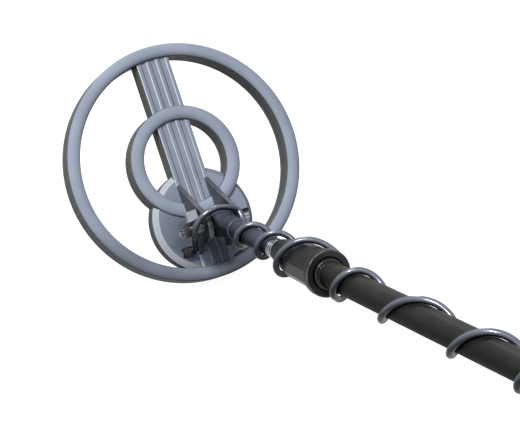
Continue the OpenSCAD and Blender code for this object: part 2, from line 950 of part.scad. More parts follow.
module lock_collar() {
    barrel_start = nose_start + nose_l;
    rear = nose_start + collar_l;
    barrel_l = collar_l - nose_l - rim_l;
    taper = atan((barrel_rear_d - barrel_d) / 2 / (barrel_l - 4));
    flat_r = barrel_d / 2 - flat_depth - 4 * tan(taper);
    color([0.13, 0.13, 0.14])
        difference() {
            along_shaft(0)
                rotate_extrude($fn = 96)
                    difference() {
                        polygon([[0, nose_start], [nose_d / 2, nose_start],
                            [barrel_d / 2, barrel_start],
                            [barrel_rear_d / 2, rear - rim_l - 4], [rim_d / 2, rear - rim_l],
                            [rim_d / 2, rear - 1], [rim_d / 2 - 1, rear], [0, rear]]);
                        translate([0, nose_start - 1])
                            square([collar_bore_r, collar_l + 2]);
                        translate([0, collet_start - run_gap])
                            square([tube_d / 2 + run_gap, collar_l]);
                        translate([0, rear - rim_l])
                            square([wiper_d / 2 + 1.4, rim_l + 1]);
                    }
            for (i = [0:flat_count - 1])
                along_shaft(barrel_start - 4)
                    rotate([0, 0, i * 360 / flat_count])
                        translate([flat_r, -rim_d / 2, 0])
                            rotate([0, taper, 0])
                                cube([rim_d, rim_d, barrel_l - 2]);
        }
}

module split_collet() {
    color([0.85, 0.85, 0.82])
        difference() {
            along_shaft(collet_start)
                difference() {
                    cylinder(r = collet_r, h = collet_l);
                    translate([0, 0, -1])
                        cylinder(r = rod_d / 2 + run_gap, h = collet_l + 2);
                }
            for (i = [0:3])
                along_shaft(collet_start - 1)
                    rotate([0, 0, 45 + i * 90])
                        translate([0, -0.8, 0])
                            cube([tube_d, 1.6, collet_l - 6]);
        }
}

module wiper_ring() {
    rear = nose_start + collar_l;
    color([0.06, 0.06, 0.07])
        along_shaft(rear - rim_l + run_gap)
            difference() {
                union() {
                    cylinder(r = wiper_d / 2, h = rim_l + 1.7);
                    cylinder(r = tube_d / 2 + 1, h = rim_l + 7);
                }
                translate([0, 0, -1])
                    cylinder(r = tube_d / 2 + fit_gap, h = rim_l + 12);
            }
}

module shaft_tube() {
    color([0.17, 0.17, 0.16]) {
        along_shaft(tube_front)
            difference() {
                cylinder(r = tube_d / 2, h = tube_rear - tube_front);
                translate([0, 0, -1])
                    cylinder(r = tube_d / 2 - tube_wall, h = tube_rear);
            }
        along_shaft(tube_rear - 10) {
            cylinder(r = tube_d / 2 - tube_wall + eps, h = 10);
            translate([0, 0, 10])
                cylinder(r = tube_d / 2, h = end_plug_t);
        }
    }
}

gland_way = [sin(90 - gland_lift), 0, cos(90 - gland_lift)];
gland_mouth = gland_foot + gland_l * gland_way;
head_way = to_row(gland_way) - to_row([0, 0, 0]);
function wound_way(u) = unit(wound(u + 0.01) - wound(u - 0.01));
hinge_route = concat(
    [for (back = [12, 6, 0]) to_row(gland_mouth - back * gland_way)],
    [for (p = lead_over_hinge) to_row(p)],
    [for (u = [0.53, 0.58, 0.64, 0.7]) wound(u)],
    [wound(stem_turn), wound(stem_turn + 0.05)]);
hinge_points = concat(curve(hinge_route, 3), [wound(stem_turn)]);
stem_points = wound_between(stem_turn, shaft_turn);

module lead_at_hinge() {
    color([0.20, 0.22, 0.27])
        lead_tube(hinge_points, head_way, wound_way(stem_turn));
}

module lead_on_stem() {
    color([0.20, 0.22, 0.27])
        lead_tube(stem_points, wound_way(stem_turn), wound_way(shaft_turn));
}

grip_base = [0, grip_station, clamp_h];
pod_back = grip_station - sin(grip_lean) * grip_l + 2;
pod_up = clamp_h + cos(grip_lean) * grip_l;
function pod_point(p) = station(p.x,
    pod_back - p.y * cos(pod_tilt) + p.z * sin(pod_tilt),
    pod_up + p.y * sin(pod_tilt) + p.z * cos(pod_tilt));

clip_run = 6;
tube_end_points = [wound(last_turn), station(0, clip_station, on_tube),
    station(0, clip_station + 9, on_tube + 1.5), station(0, clip_station + 20, on_tube + 13),
    station(0, clip_station + 27, on_tube + 38), station(0, clip_station + 32, on_tube + 66)];
plug_mouth = pod_point(plug_seat - [0, 0, plug_l]);
plug_way = unit(pod_point(plug_seat) - plug_mouth);
shaft_route = concat([wound(last_turn - 0.05)], tube_end_points,
    [plug_mouth - 10 * plug_way, plug_mouth, plug_mouth + 10 * plug_way]);
shaft_points = concat(wound_between(shaft_turn, last_turn - 1 / lead_steps),
    curve(shaft_route, 4), [plug_mouth]);

module lead_on_shaft() {
    color([0.20, 0.22, 0.27])
        lead_tube(shaft_points, wound_way(shaft_turn), plug_way);
}

module lead_clip() {
    color([0.10, 0.10, 0.11])
        difference() {
            union() {
                along_shaft(clip_station - clip_run / 2)
                    cylinder(r = tube_d / 2 + 2.2, h = clip_run);
                at_station(clip_station)
                    translate([-lead_r - 2, -clip_run / 2, 0])
                        cube([lead_d + 4, clip_run, on_tube + lead_r + 2]);
            }
            along_shaft(clip_station - clip_run)
                cylinder(r = tube_d / 2 + 0.1, h = 2 * clip_run);
            at_station(clip_station)
                translate([0, clip_run, on_tube])
                    rotate([90, 0, 0])
                        cylinder(r = lead_r + 1.2, h = 2 * clip_run);
        }
}

module at_pod() {
    at_station(pod_back)
        translate([0, 0, pod_up])
            rotate([pod_tilt, 0, 0])
                children();
}

module lead_plug() {
    color([0.10, 0.10, 0.11])
        at_pod()
            translate(plug_seat - [0, 0, plug_l]) {
                cylinder(r = 5.6, h = plug_l - 10);
                translate([0, 0, plug_l - 10])
                    cylinder(r = 8, h = 10, $fn = 64);
            }
}

screw_x = clamp_w / 2 - 4;
screw_y = clamp_l / 2 - 8;

// Two halves clamped round the tube, drawn as one node with a 1 mm split.
module handle_clamp() {
    color([0.14, 0.14, 0.15])
        difference() {
            union() {
                at_station(grip_station)
                    translate([-clamp_w / 2, -clamp_l / 2, 0.5])
                        cube([clamp_w, clamp_l, clamp_h - 0.5]);
                at_station(grip_station)
                    translate([-clamp_w / 2, -clamp_l / 2, -clamp_h])
                        cube([clamp_w, clamp_l, clamp_h - 0.5]);
            }
            along_shaft(grip_station - clamp_l)
                cylinder(r = tube_d / 2 + 0.1, h = 2 * clamp_l);
            for (x = [-1, 1], y = [-1, 1])
                at_station(grip_station)
                    translate([x * screw_x, y * screw_y, -clamp_h - 1])
                        cylinder(r = 1.8, h = 2 * clamp_h - 4, $fn = 24);
        }
}

module clamp_screws() {
    color([0.70, 0.71, 0.73])
        for (x = [-1, 1], y = [-1, 1])
            at_station(grip_station)
                translate([x * screw_x, y * screw_y, -clamp_h - 2.5]) {
                    cylinder(r = 3, h = 2.5, $fn = 32);
                    cylinder(r = 1.65, h = 2 * clamp_h - 4, $fn = 32);
                }
}

module at_grip() {
    at_station(grip_station)
        translate([0, 0, clamp_h])
            rotate([-grip_lean, 0, 0])
                children();
}

module above_clamp_below_pod() {
    difference() {
        children();
        at_station(grip_station)
            translate([-200, -200, clamp_h - 100])
                cube([400, 400, 100]);
        at_pod()
            translate([-200, -200, 0])
                cube([400, 400, 200]);
    }
}

trigger_w = 12;
trigger_h = 26;
trigger_up = 66;
trigger_travel = 3;

module trigger_slot(gap) {
    translate([-trigger_w / 2 - gap, grip_depth / 2 - 8, trigger_up - gap])
        cube([trigger_w + 2 * gap, 20, trigger_h + 2 * gap]);
}

module grip_core() {
    color([0.14, 0.14, 0.15])
        difference() {
            above_clamp_below_pod()
                at_grip()
                    translate([0, 0, -20])
                        stadium(grip_w, grip_depth, grip_l + 60);
            at_grip() {
                trigger_slot(run_gap);
                translate([0, -5, -30])
                    cylinder(r = 5, h = grip_l + 80);
            }
        }
}

module grip_foam() {
    color([0.09, 0.09, 0.10])
        difference() {
            at_grip()
                translate([0, 0, 6])
                    difference() {
                        stadium(grip_w + 2 * foam_t, grip_depth + 2 * foam_t, grip_l - 34);
                        translate([0, 0, -1])
                            stadium(grip_w + 0.2, grip_depth + 0.2, grip_l);
                    }
            at_grip()
                trigger_slot(run_gap + 0.4);
            at_station(grip_station)
                translate([-200, -200, clamp_h - 100])
                    cube([400, 400, 100.2]);
        }
}

module trigger() {
    color([0.55, 0.10, 0.08])
        at_grip()
            translate([-trigger_w / 2, grip_depth / 2 - 8 + trigger_travel + run_gap, trigger_up])
                cube([trigger_w, foam_t + 8, trigger_h]);
}

window_y = 26;
button_y = -12;
knob_y = -38;
knob_x = 30;
button_x = 26;
board_z = 12;
socket_r = 3.3;
socket_up = 6.6;
socket_y = knob_y / 2;
pod_h = pod_base_h + pod_cover_h;
boss_spots = [for (x = [-1, 1], y = [-1, 1]) [x * (pod_w / 2 - 9), y * (pod_l / 2 - 9)]];

module unit_base() {
    color([0.15, 0.15, 0.16])
        at_pod()
            difference() {
                union() {
                    difference() {
                        rounded_plate(pod_w, pod_l, pod_base_h, pod_r);
                        translate([0, 0, pod_wall])
                            rounded_plate(pod_w - 2 * pod_wall, pod_l - 2 * pod_wall,
                                pod_base_h, pod_r - pod_wall);
                    }
                    for (p = boss_spots)
                        translate([p.x, p.y, pod_wall - eps])
                            cylinder(r = 4, h = board_z - pod_wall, $fn = 32);
                }
                for (p = boss_spots)
                    translate([p.x, p.y, -1])
                        cylinder(r = 1.6, h = pod_base_h, $fn = 24);
                for (i = [-3:3])
                    translate([-pod_w / 2 - 1, i * 6 - 1 + knob_y / 2, 8])
                        cube([pod_wall + 2, 2, 9]);
                translate([pod_w / 2 - pod_wall - 1, socket_y, socket_up])
                    rotate([0, 90, 0])
                        cylinder(r = socket_r, h = pod_wall + 2);
            }
}

module button_holes(gap) {
    for (i = [-1:1])
        translate([i * button_x, button_y, pod_base_h])
            cylinder(r = button_d / 2 + gap, h = pod_cover_h + 5, $fn = 48);
}

module unit_cover() {
    color([0.16, 0.16, 0.17])
        at_pod()
            difference() {
                translate([0, 0, pod_base_h])
                    rounded_plate(pod_w, pod_l, pod_cover_h, pod_r);
                translate([0, 0, pod_base_h - 1])
                    rounded_plate(pod_w - 2 * pod_wall, pod_l - 2 * pod_wall,
                        pod_cover_h - pod_wall + 1, pod_r - pod_wall);
                translate([-window_w / 2, window_y - window_l / 2, pod_h - pod_wall - 1])
                    cube([window_w, window_l, pod_wall + 2]);
                button_holes(run_gap);
                for (x = [-1, 1])
                    translate([x * knob_x, knob_y, pod_base_h])
                        cylinder(r = 3.4, h = pod_cover_h + 5, $fn = 32);
            }
}

// Screws from below hold the base's bosses to the board.
module unit_screws() {
    color([0.70, 0.71, 0.73])
        at_pod()
            for (p = boss_spots)
                translate([p.x, p.y, -1.8]) {
                    cylinder(r = 2.8, h = 1.8, $fn = 32);
                    cylinder(r = 1.4, h = board_z + 1.5, $fn = 32);
                }
}

module display_window() {
    color([0.55, 0.62, 0.60, 0.5])
        at_pod()
            translate([-window_w / 2 + 0.1, window_y - window_l / 2 + 0.1, pod_h - pod_wall])
                cube([window_w - 0.2, window_l - 0.2, pod_wall - 0.6]);
}

module display_module() {
    color([0.60, 0.66, 0.52])
        at_pod()
            translate([-window_w / 2 + 1, window_y - window_l / 2 + 1, board_z + 1.6])
                cube([window_w - 2, window_l - 2, pod_h - pod_wall - board_z - 1.6 - 0.2]);
}

module main_board() {
    color([0.10, 0.36, 0.20])
        at_pod()
            difference() {
                translate([0, 0, board_z])
                    rounded_plate(pod_w - 2 * pod_wall - 1, pod_l - 2 * pod_wall - 1, 1.6,
                        pod_r - pod_wall - 0.5);
                for (p = boss_spots)
                    translate([p.x, p.y, 0])
                        cylinder(r = 1.6, h = pod_h, $fn = 24);
                for (x = [-1, 1])
                    translate([x * knob_x, knob_y, 0])
                        cylinder(r = 2.2, h = pod_h, $fn = 24);
            }
}

module push_button(i) {
    color([0.72, 0.73, 0.74])
        at_pod()
            translate([i * button_x, button_y, 0]) {
                translate([0, 0, board_z + 1.6 + button_travel + run_gap])
                    cylinder(r = button_d / 2,
                        h = pod_h + 1.8 - board_z - 1.6 - button_travel - run_gap, $fn = 48);
                translate([0, 0, pod_h - pod_wall - run_gap - 2])
                    cylinder(r = button_d / 2 + 1.5, h = 2, $fn = 48);
            }
}

module push_buttons_a() {
    push_button(-1);
}

module push_buttons_b() {
    push_button(0);
}

module push_buttons_c() {
    push_button(1);
}

module knob(side) {
    color([0.10, 0.10, 0.11])
        at_pod()
            translate([side * knob_x, knob_y, 0]) {
                difference() {
                    translate([0, 0, pod_h + run_gap])
                        cylinder(r = knob_d / 2, h = 11, $fn = 48);
                    for (i = [0:11])
                        rotate([0, 0, i * 30])
                            translate([knob_d / 2 + 0.6, 0, pod_h - 1])
                                cylinder(r = 1.2, h = 20, $fn = 16);
                    translate([-0.6, 1.5, pod_h + run_gap + 10.2])
                        cube([1.2, knob_d, 2]);
                }
                translate([0, 0, board_z - 2])
                    cylinder(r = 1.9, h = pod_h + run_gap - board_z + 3, $fn = 32);
                translate([0, 0, board_z + 1.6 + run_gap])
                    cylinder(r = 3, h = pod_h - board_z - 1.6, $fn = 32);
            }
}

module left_knob() {
    knob(-1);
}

module right_knob() {
    knob(1);
}

module speaker() {
    color([0.20, 0.20, 0.21])
        at_pod()
            translate([-pod_w / 2 + pod_wall + 0.2, knob_y / 2, pod_wall + 0.2])
                difference() {
                    translate([0, -22, 0])
                        cube([4, 44, board_z - pod_wall - 0.4]);
                    translate([-1, -18, 3])
                        cube([2, 36, board_z]);
                }
}

cup_r = cup_d / 2;
cup_up = tube_d / 2 + 5 + cup_wall + cup_r;
saddle_bore_r = tube_d / 2 + run_gap;
saddle_w = 34;
thumb_up = -2;

module arm_cup() {
    color([0.13, 0.13, 0.14])
        difference() {
            union() {
                at_station(cup_station)
                    translate([0, cup_l / 2, cup_up])
                        rotate([90, 0, 0])
                            difference() {
                                cylinder(r = cup_r + cup_wall, h = cup_l, $fn = 96);
                                translate([0, 0, -1])
                                    cylinder(r = cup_r, h = cup_l + 2, $fn = 96);
                                translate([-cup_d, 8, -1])
                                    cube([2 * cup_d, cup_d, cup_l + 2]);
                            }
                difference() {
                    at_station(cup_station)
                        translate([-saddle_w / 2, -saddle_l / 2, -tube_d / 2 - 4.5])
                            cube([saddle_w, saddle_l, tube_d + 4.5 + 5 + cup_wall + 8]);
                    at_station(cup_station)
                        translate([0, cup_l / 2, cup_up])
                            rotate([90, 0, 0])
                                cylinder(r = cup_r + eps, h = cup_l + 2, $fn = 96);
                }
            }
            along_shaft(cup_station - saddle_l)
                cylinder(r = saddle_bore_r, h = 2 * saddle_l);
            at_station(cup_station)
                translate([0, 0, thumb_up])
                    x_rod(-saddle_w, 0, 3.3);
            for (side = [-1, 1])
                at_station(cup_station)
                    translate([side * (cup_r + cup_wall / 2) - 3, -strap_w / 2 - 1, cup_up - 6])
                        cube([6, strap_w + 2, 4]);
        }
}

// Pad in the cup, with the strap over the arm fixed through the cup's two slots.
module arm_pad_and_strap() {
    strap_r = cup_r + cup_wall + 1.2;
    color([0.08, 0.08, 0.09])
        at_station(cup_station) {
            translate([0, cup_l / 2 - 3, cup_up])
                rotate([90, 0, 0])
                    difference() {
                        cylinder(r = cup_r - 0.1, h = cup_l - 6, $fn = 96);
                        translate([0, 0, -1])
                            cylinder(r = cup_r - pad_t, h = cup_l, $fn = 96);
                        translate([-cup_d, -8, -1])
                            cube([2 * cup_d, cup_d + 8, cup_l]);
                    }
            translate([0, strap_w / 2, cup_up])
                rotate([90, 0, 0])
                    difference() {
                        cylinder(r = strap_r + 2, h = strap_w, $fn = 96);
                        translate([0, 0, -1])
                            cylinder(r = strap_r, h = strap_w + 2, $fn = 96);
                        translate([-cup_d, -cup_d - 8.5, -1])
                            cube([2 * cup_d, cup_d + 3, strap_w + 2]);
                    }
            for (side = [-1, 1])
                translate([side * (cup_r + cup_wall / 2 + 0.3) - 3.4, -strap_w / 2, cup_up - 5.5])
                    cube([side > 0 ? 6.3 : 6.2, strap_w, 2.2]);
        }
}

module cup_thumb_screw() {
    color([0.10, 0.10, 0.11])
        at_station(cup_station)
            translate([0, 0, thumb_up]) {
                x_rod(-saddle_w / 2 - 6, -saddle_bore_r - 0.5, 3);
                difference() {
                    x_rod(-saddle_w / 2 - 16, -saddle_w / 2 - 1, 10);
                    for (i = [0:7])
                        rotate([i * 45, 0, 0])
                            translate([0, 0, 11.4])
                                x_rod(-saddle_w, 0, 3);
                }
            }
}

box_top = -tube_d / 2 - 2.5;
box_bottom = box_top - box_h;
box_mid = box_front + box_l / 2;
box_r = 8;
door_w = box_w - 1;
door_h = box_h - 8;
door_pin_r = 1.5;
knuckle_r = 3.4;
door_pin_up = box_bottom + knuckle_r + 0.6;
stand_l = 22;
stand_station = box_rear - 30;
stand_top_w = 60;

module battery_box() {
    color([0.14, 0.14, 0.15]) {
        difference() {
            union() {
                at_station(box_mid)
                    translate([-box_w / 2, -box_l / 2, box_bottom])
                        cube([box_w, box_l, box_h]);
                at_station(box_mid)
                    translate([-24, -box_l / 2, box_top - eps])
                        cube([48, box_l, 2.5 + tube_d + 4]);
            }
            along_shaft(box_front - 1)
                cylinder(r = tube_d / 2 + 0.1, h = box_l + 2);
            at_station(box_mid)
                translate([-box_w / 2 + box_wall, -box_l / 2 - 1, box_bottom + box_wall])
                    cube([box_w - 2 * box_wall, box_l - box_wall + 1, box_h - 2 * box_wall]);
            at_station(box_rear)
                translate([-box_w / 2 + box_wall, -1, box_bottom - 1])
                    cube([box_w - 2 * box_wall, knuckle_r * 2 + 1.8, knuckle_r * 2 + 1.9]);
        }
        for (side = [-1, 1])
            at_station(box_rear - knuckle_r)
                translate([0, 0, door_pin_up]) {
                    x_rod(side > 0 ? 20 : -box_w / 2 + box_wall - eps,
                        side > 0 ? box_w / 2 - box_wall + eps : -20, knuckle_r);
                    x_rod(-20 - eps, 20 + eps, door_pin_r);
                }
        at_station(stand_station)
            translate([0, stand_l / 2, 0])
                rotate([90, 0, 0])
                    linear_extrude(height = stand_l)
                        polygon([[-stand_top_w / 2, box_bottom + eps],
                            [stand_top_w / 2, box_bottom + eps],
                            [foot_span + foot_d / 2 + 2, foot_h + 7 - axis_z],
                            [foot_span + foot_d / 2 + 2, foot_h - axis_z],
                            [-foot_span - foot_d / 2 - 2, foot_h - axis_z],
                            [-foot_span - foot_d / 2 - 2, foot_h + 7 - axis_z]]);
    }
    color([0.05, 0.05, 0.05])
        for (side = [-1, 1])
            translate([side * foot_span, hinge_row_y - stand_station, 0])
                cylinder(r = foot_d / 2, h = foot_h + eps);
}

module battery_door() {
    rear_y = -knuckle_r;
    color([0.15, 0.15, 0.16])
        at_station(box_rear - knuckle_r)
            difference() {
                union() {
                    translate([0, 0, door_pin_up])
                        x_rod(-20 + run_gap, 20 - run_gap, knuckle_r);
                    translate([-20 + run_gap, rear_y - door_t - run_gap, door_pin_up])
                        cube([40 - 2 * run_gap, door_t + run_gap + 1, 8]);
                    translate([-door_w / 2, rear_y - door_t - run_gap, door_pin_up + 4.5])
                        cube([door_w, door_t, door_h]);
                }
                translate([0, 0, door_pin_up])
                    x_rod(-box_w, box_w, door_pin_r + 0.1);
            }
}

cell_r = 7.1;
cell_l = 50.5;
cell_gap = 0.2;

module battery_cells() {
    pitch = 2 * cell_r + cell_gap;
    color([0.20, 0.24, 0.42])
        for (i = [-1:1], j = [0:1])
            along_shaft(box_front + box_wall + 6)
                translate([i * pitch, box_bottom + box_wall + cell_r + cell_gap + j * pitch, 0]) {
                    cylinder(r = cell_r, h = cell_l);
                    translate([0, 0, cell_l])
                        cylinder(r = 2.6, h = 1.2);
                }
}

echo(lead_length = length_of(hinge_points) + length_of(stem_points) + length_of(shaft_points));
echo(least_self_gap = self_gap(concat(hinge_points, stem_points, shaft_points), 9));
echo(axis_height = axis_z, hinge_y = hinge_row_y, overall = rear_most + head_front_y);

outer_ring();
outer_ring_cover();
transmit_coil();
inner_ring();
inner_ring_cover();
receive_coil();
spoke_front();
disc_front();
disc_housing();
disc_cover();
spoke_covers();
cover_screws();
signal_board();
left_cheek();
right_cheek();
cheek_screws();
hinge_bolt();
bolt_washer();
pin_spacer();
lead_gland();
clamp_lever();
lever_nut();
hinge_tongue();
friction_washers();
lower_rod();
ferrule();
inner_rod();
rod_bush();
lock_collar();
split_collet();
wiper_ring();
shaft_tube();
lead_at_hinge();
lead_on_stem();
lead_on_shaft();
lead_clip();
lead_plug();
handle_clamp();
clamp_screws();
grip_core();
grip_foam();
trigger();
unit_base();
unit_cover();
unit_screws();
display_window();
display_module();
main_board();
push_buttons_a();
push_buttons_b();
push_buttons_c();
left_knob();
right_knob();
speaker();
arm_cup();
arm_pad_and_strap();
cup_thumb_screw();
battery_box();
battery_door();
battery_cells();
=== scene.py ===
"""Dresses the metal detector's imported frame: mouldings, lead, soft parts, finishes and studio."""

import json
import math

import bmesh
import bpy
import numpy as np
from bpy.props import FloatProperty, FloatVectorProperty, IntProperty, PointerProperty
from bpy.types import Operator, Panel, PropertyGroup
from mathutils import Euler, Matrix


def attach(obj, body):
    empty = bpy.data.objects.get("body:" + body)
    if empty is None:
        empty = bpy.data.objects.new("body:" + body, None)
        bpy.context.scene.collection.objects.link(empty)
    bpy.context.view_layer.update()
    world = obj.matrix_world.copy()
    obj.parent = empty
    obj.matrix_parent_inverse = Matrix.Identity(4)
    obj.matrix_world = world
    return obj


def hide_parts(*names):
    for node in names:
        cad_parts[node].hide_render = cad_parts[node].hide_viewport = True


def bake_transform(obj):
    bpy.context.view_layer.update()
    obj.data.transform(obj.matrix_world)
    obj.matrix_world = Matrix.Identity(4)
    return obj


bl_info = {
    "name": "Metal detector",
    "version": (1, 0, 0),
    "blender": (4, 5, 0),
    "location": "View3D > Sidebar > Detector",
    "description": "Builds the visible pieces, finishes and studio of a double-ring metal detector",
    "category": "Add Mesh",
}

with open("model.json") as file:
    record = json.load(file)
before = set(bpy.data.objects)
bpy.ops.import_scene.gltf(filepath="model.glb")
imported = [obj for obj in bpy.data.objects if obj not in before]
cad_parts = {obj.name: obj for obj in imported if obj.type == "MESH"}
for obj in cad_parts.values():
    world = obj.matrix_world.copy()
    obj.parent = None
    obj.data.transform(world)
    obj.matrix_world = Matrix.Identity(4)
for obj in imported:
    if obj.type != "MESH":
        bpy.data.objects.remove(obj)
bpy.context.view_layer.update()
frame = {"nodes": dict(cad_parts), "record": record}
NODES = frame["nodes"]
SUBPARTS = {s["node"]: s["material_slot"] for s in frame["record"]["subparts"]}
BODY_OF = {n: b for b, group in frame["record"]["behaviour"]["bodies"].items() for n in group}
MM = 0.001
TAU = 2 * math.pi
# Points closer than this many metres are merged.
MERGE = 2e-6



def leaned(degrees):
    """The turn about X by that angle: y' = y cos a - z sin a, z' = y sin a + z cos a."""
    a = math.radians(degrees)
    return np.array([[1, 0, 0], [0, math.cos(a), -math.sin(a)], [0, math.sin(a), math.cos(a)]])


# The hinge pin's place in the frame and on the head, and the head's turn. All in millimetres.
PIN = np.array([0.0, 516.599, 79.968])
PIN_ON_HEAD = np.array([0.0, -81.0, 46.5])
HEAD_TURN = leaned(71.2)
HEAD_BACK, HEAD_NORMAL = HEAD_TURN[:, 1], HEAD_TURN[:, 2]
RING_CENTRE = PIN - HEAD_TURN @ PIN_ON_HEAD
# The middles of the control unit's bottom and of the grip's foot, and how each leans.
POD_TURN, POD_AT = leaned(25), PIN + np.array([0, -852.377, 120.727])
GRIP_TURN, GRIP_AT = leaned(-12), PIN + np.array([0, -872, 19])
# The ribs' pitch across the spoke and half the spoke's width, in metres.
RIB_PITCH, RIB_HALF = 0.0116667, 0.0200
# The hinge's foot on the head in millimetres, round which the disc is painted in shade, and the
# recess on the disc's right in metres.
HINGE_FOOT = np.array([-14.0, -92.0, 0.0])
RECESS_AT = 0.0495, -0.0753
# The middle of the display on the control unit, in millimetres.
DISPLAY_AT = np.array([0, 26, 0])
# The height and distance behind the pin of the arm cup's middle, in millimetres.
CUP_UP, CUP_BEHIND = 68.5, 1040.0
# The radius of the strap's bend over the arm, and the strap's and its fastener's thicknesses.
STRAP_R, STRAP_THICK, PATCH_THICK = 52.2, 1.7, 1.3

# The side that the lead is painted lit from, with painted shade away from it; the side on which the
# shaft tube and the stem are painted in shade; and the side of the head, in its own frame, towards
# which the rings are painted in shade.
LIT_SIDE = (-0.16, -0.22, 0.96)
SHADE_SIDE = (-0.50, 0.0, -0.866)
SHADED_HEAD_SIDE = np.array([-0.50, -0.866, 0.0])
# Satin black mouldings: half of the light comes back in a dark gloss that stays dark at the edges.
SATIN = {"Metallic": 0.5, "Specular_Tint": (0.1, 0.1, 0.1, 1.0)}
# The head's matt paint, and the pale colour of its worn edges, which also serves as a painted
# highlight on the rings' rims and as painted light on the disc's left slope.
MATT_PAINT = {"Specular_IOR_Level": 0.03}
WORN_AND_LIT_PAINT = (0.58, 0.61, 0.66)
# Outputs of Texture Coordinate: the surface's own normal, and its place on the piece.
OWN_NORMAL, OWN_PLACE = 1, 3
# Mix's inputs for the factor and two colours, and its output for a colour.
MIX_FACTOR, MIX_A, MIX_B, MIX_COLOUR = 0, 6, 7, 2
# Light Path's outputs for camera, glossy and transmission rays.
RAY_OUTPUTS = (0, 3, 6)
FINISHES = {}


def size(name, text, value, low=0.0):
    """A length that a user can set, given in millimetres."""
    return FloatProperty(name=name, description=text, default=value * MM, min=low, unit="LENGTH")


def tint(name, text, value):
    """A colour that a user can set, in linear parts."""
    return FloatVectorProperty(name=name, description=text, subtype="COLOR", size=3, min=0, max=1,
                               default=value)


class HeadSizes(PropertyGroup):
    big_r: size("Large ring", "Outside radius of the large ring", 140)
    big_w: size("Large ring's width", "Width of the large ring's moulding", 15.2)
    small_r: size("Small ring", "Outside radius of the small ring", 65.8)
    small_w: size("Small ring's width", "Width of the small ring's moulding", 16)
    depth: size("Depth", "Height of both rings", 30)
    deck: size("Deck", "Drop from the rings' top to the spoke's ribs", 5)
    spoke: size("Spoke", "Width of the spoke", 40)
    rib: size("Rib", "Width of one rib of the spoke", 5)
    channel: size("Channel", "Depth between the ribs", 1.2)
    ribs: IntProperty(name="Ribs", description="Number of ribs along the spoke", default=4, min=2)


class ShaftSizes(PropertyGroup):
    rod_r: size("Rod", "Radius of the lower rod and the ferrule's crests", 11)
    sleeve_r: size("Sleeve", "Radius of the tongue's sleeve", 12.6)
    tongue_w: size("Tongue", "Width of the hinge tongue", 26)
    tongue_r: size("Tongue eye", "Radius of the tongue round the pin", 14.5)
    lead_r: size("Lead", "Radius of the lead", 3.4)


class Finishes(PropertyGroup):
    head: tint("Head", "Paint on the head's upper faces", (0.345, 0.388, 0.472))
    deck: tint("Deck", "Paint on the spoke's and disc's upper faces", (0.296, 0.333, 0.412))
    head_side: tint("Head's sides", "Paint on the rings' and disc's walls", (0.125, 0.125, 0.130))
    stem: tint("Stem", "Grey of the tongue and the lower rod", (0.100, 0.113, 0.152))
    tube: tint("Tube", "Coating of the shaft tube", (0.032, 0.0325, 0.0285))
    lead: tint("Lead", "Sheath of the lead", (0.090, 0.096, 0.118))
    floor: tint("Floor", "Floor and backdrop", (1.0, 1.0, 1.0))


class Value:
    """A number socket on which Python's operators add Math nodes."""

    def __init__(self, tree, socket):
        self.tree, self.socket = tree, socket

    def join(self, operation, a, b):
        """One Math node, fed by sockets or by plain numbers."""
        node = self.tree.nodes.new("ShaderNodeMath")
        node.operation = operation
        for spot, item in zip(node.inputs, (a, b)):
            if isinstance(item, Value):
                self.tree.links.new(item.socket, spot)
            else:
                spot.default_value = item
        return Value(self.tree, node.outputs[0])

    def __add__(self, other):
        return self.join("ADD", self, other)

    __radd__ = __add__

    def __sub__(self, other):
        return self.join("SUBTRACT", self, other)

    def __rsub__(self, other):
        return self.join("SUBTRACT", other, self)

    def __mul__(self, other):
        return self.join("MULTIPLY", self, other)

    __rmul__ = __mul__


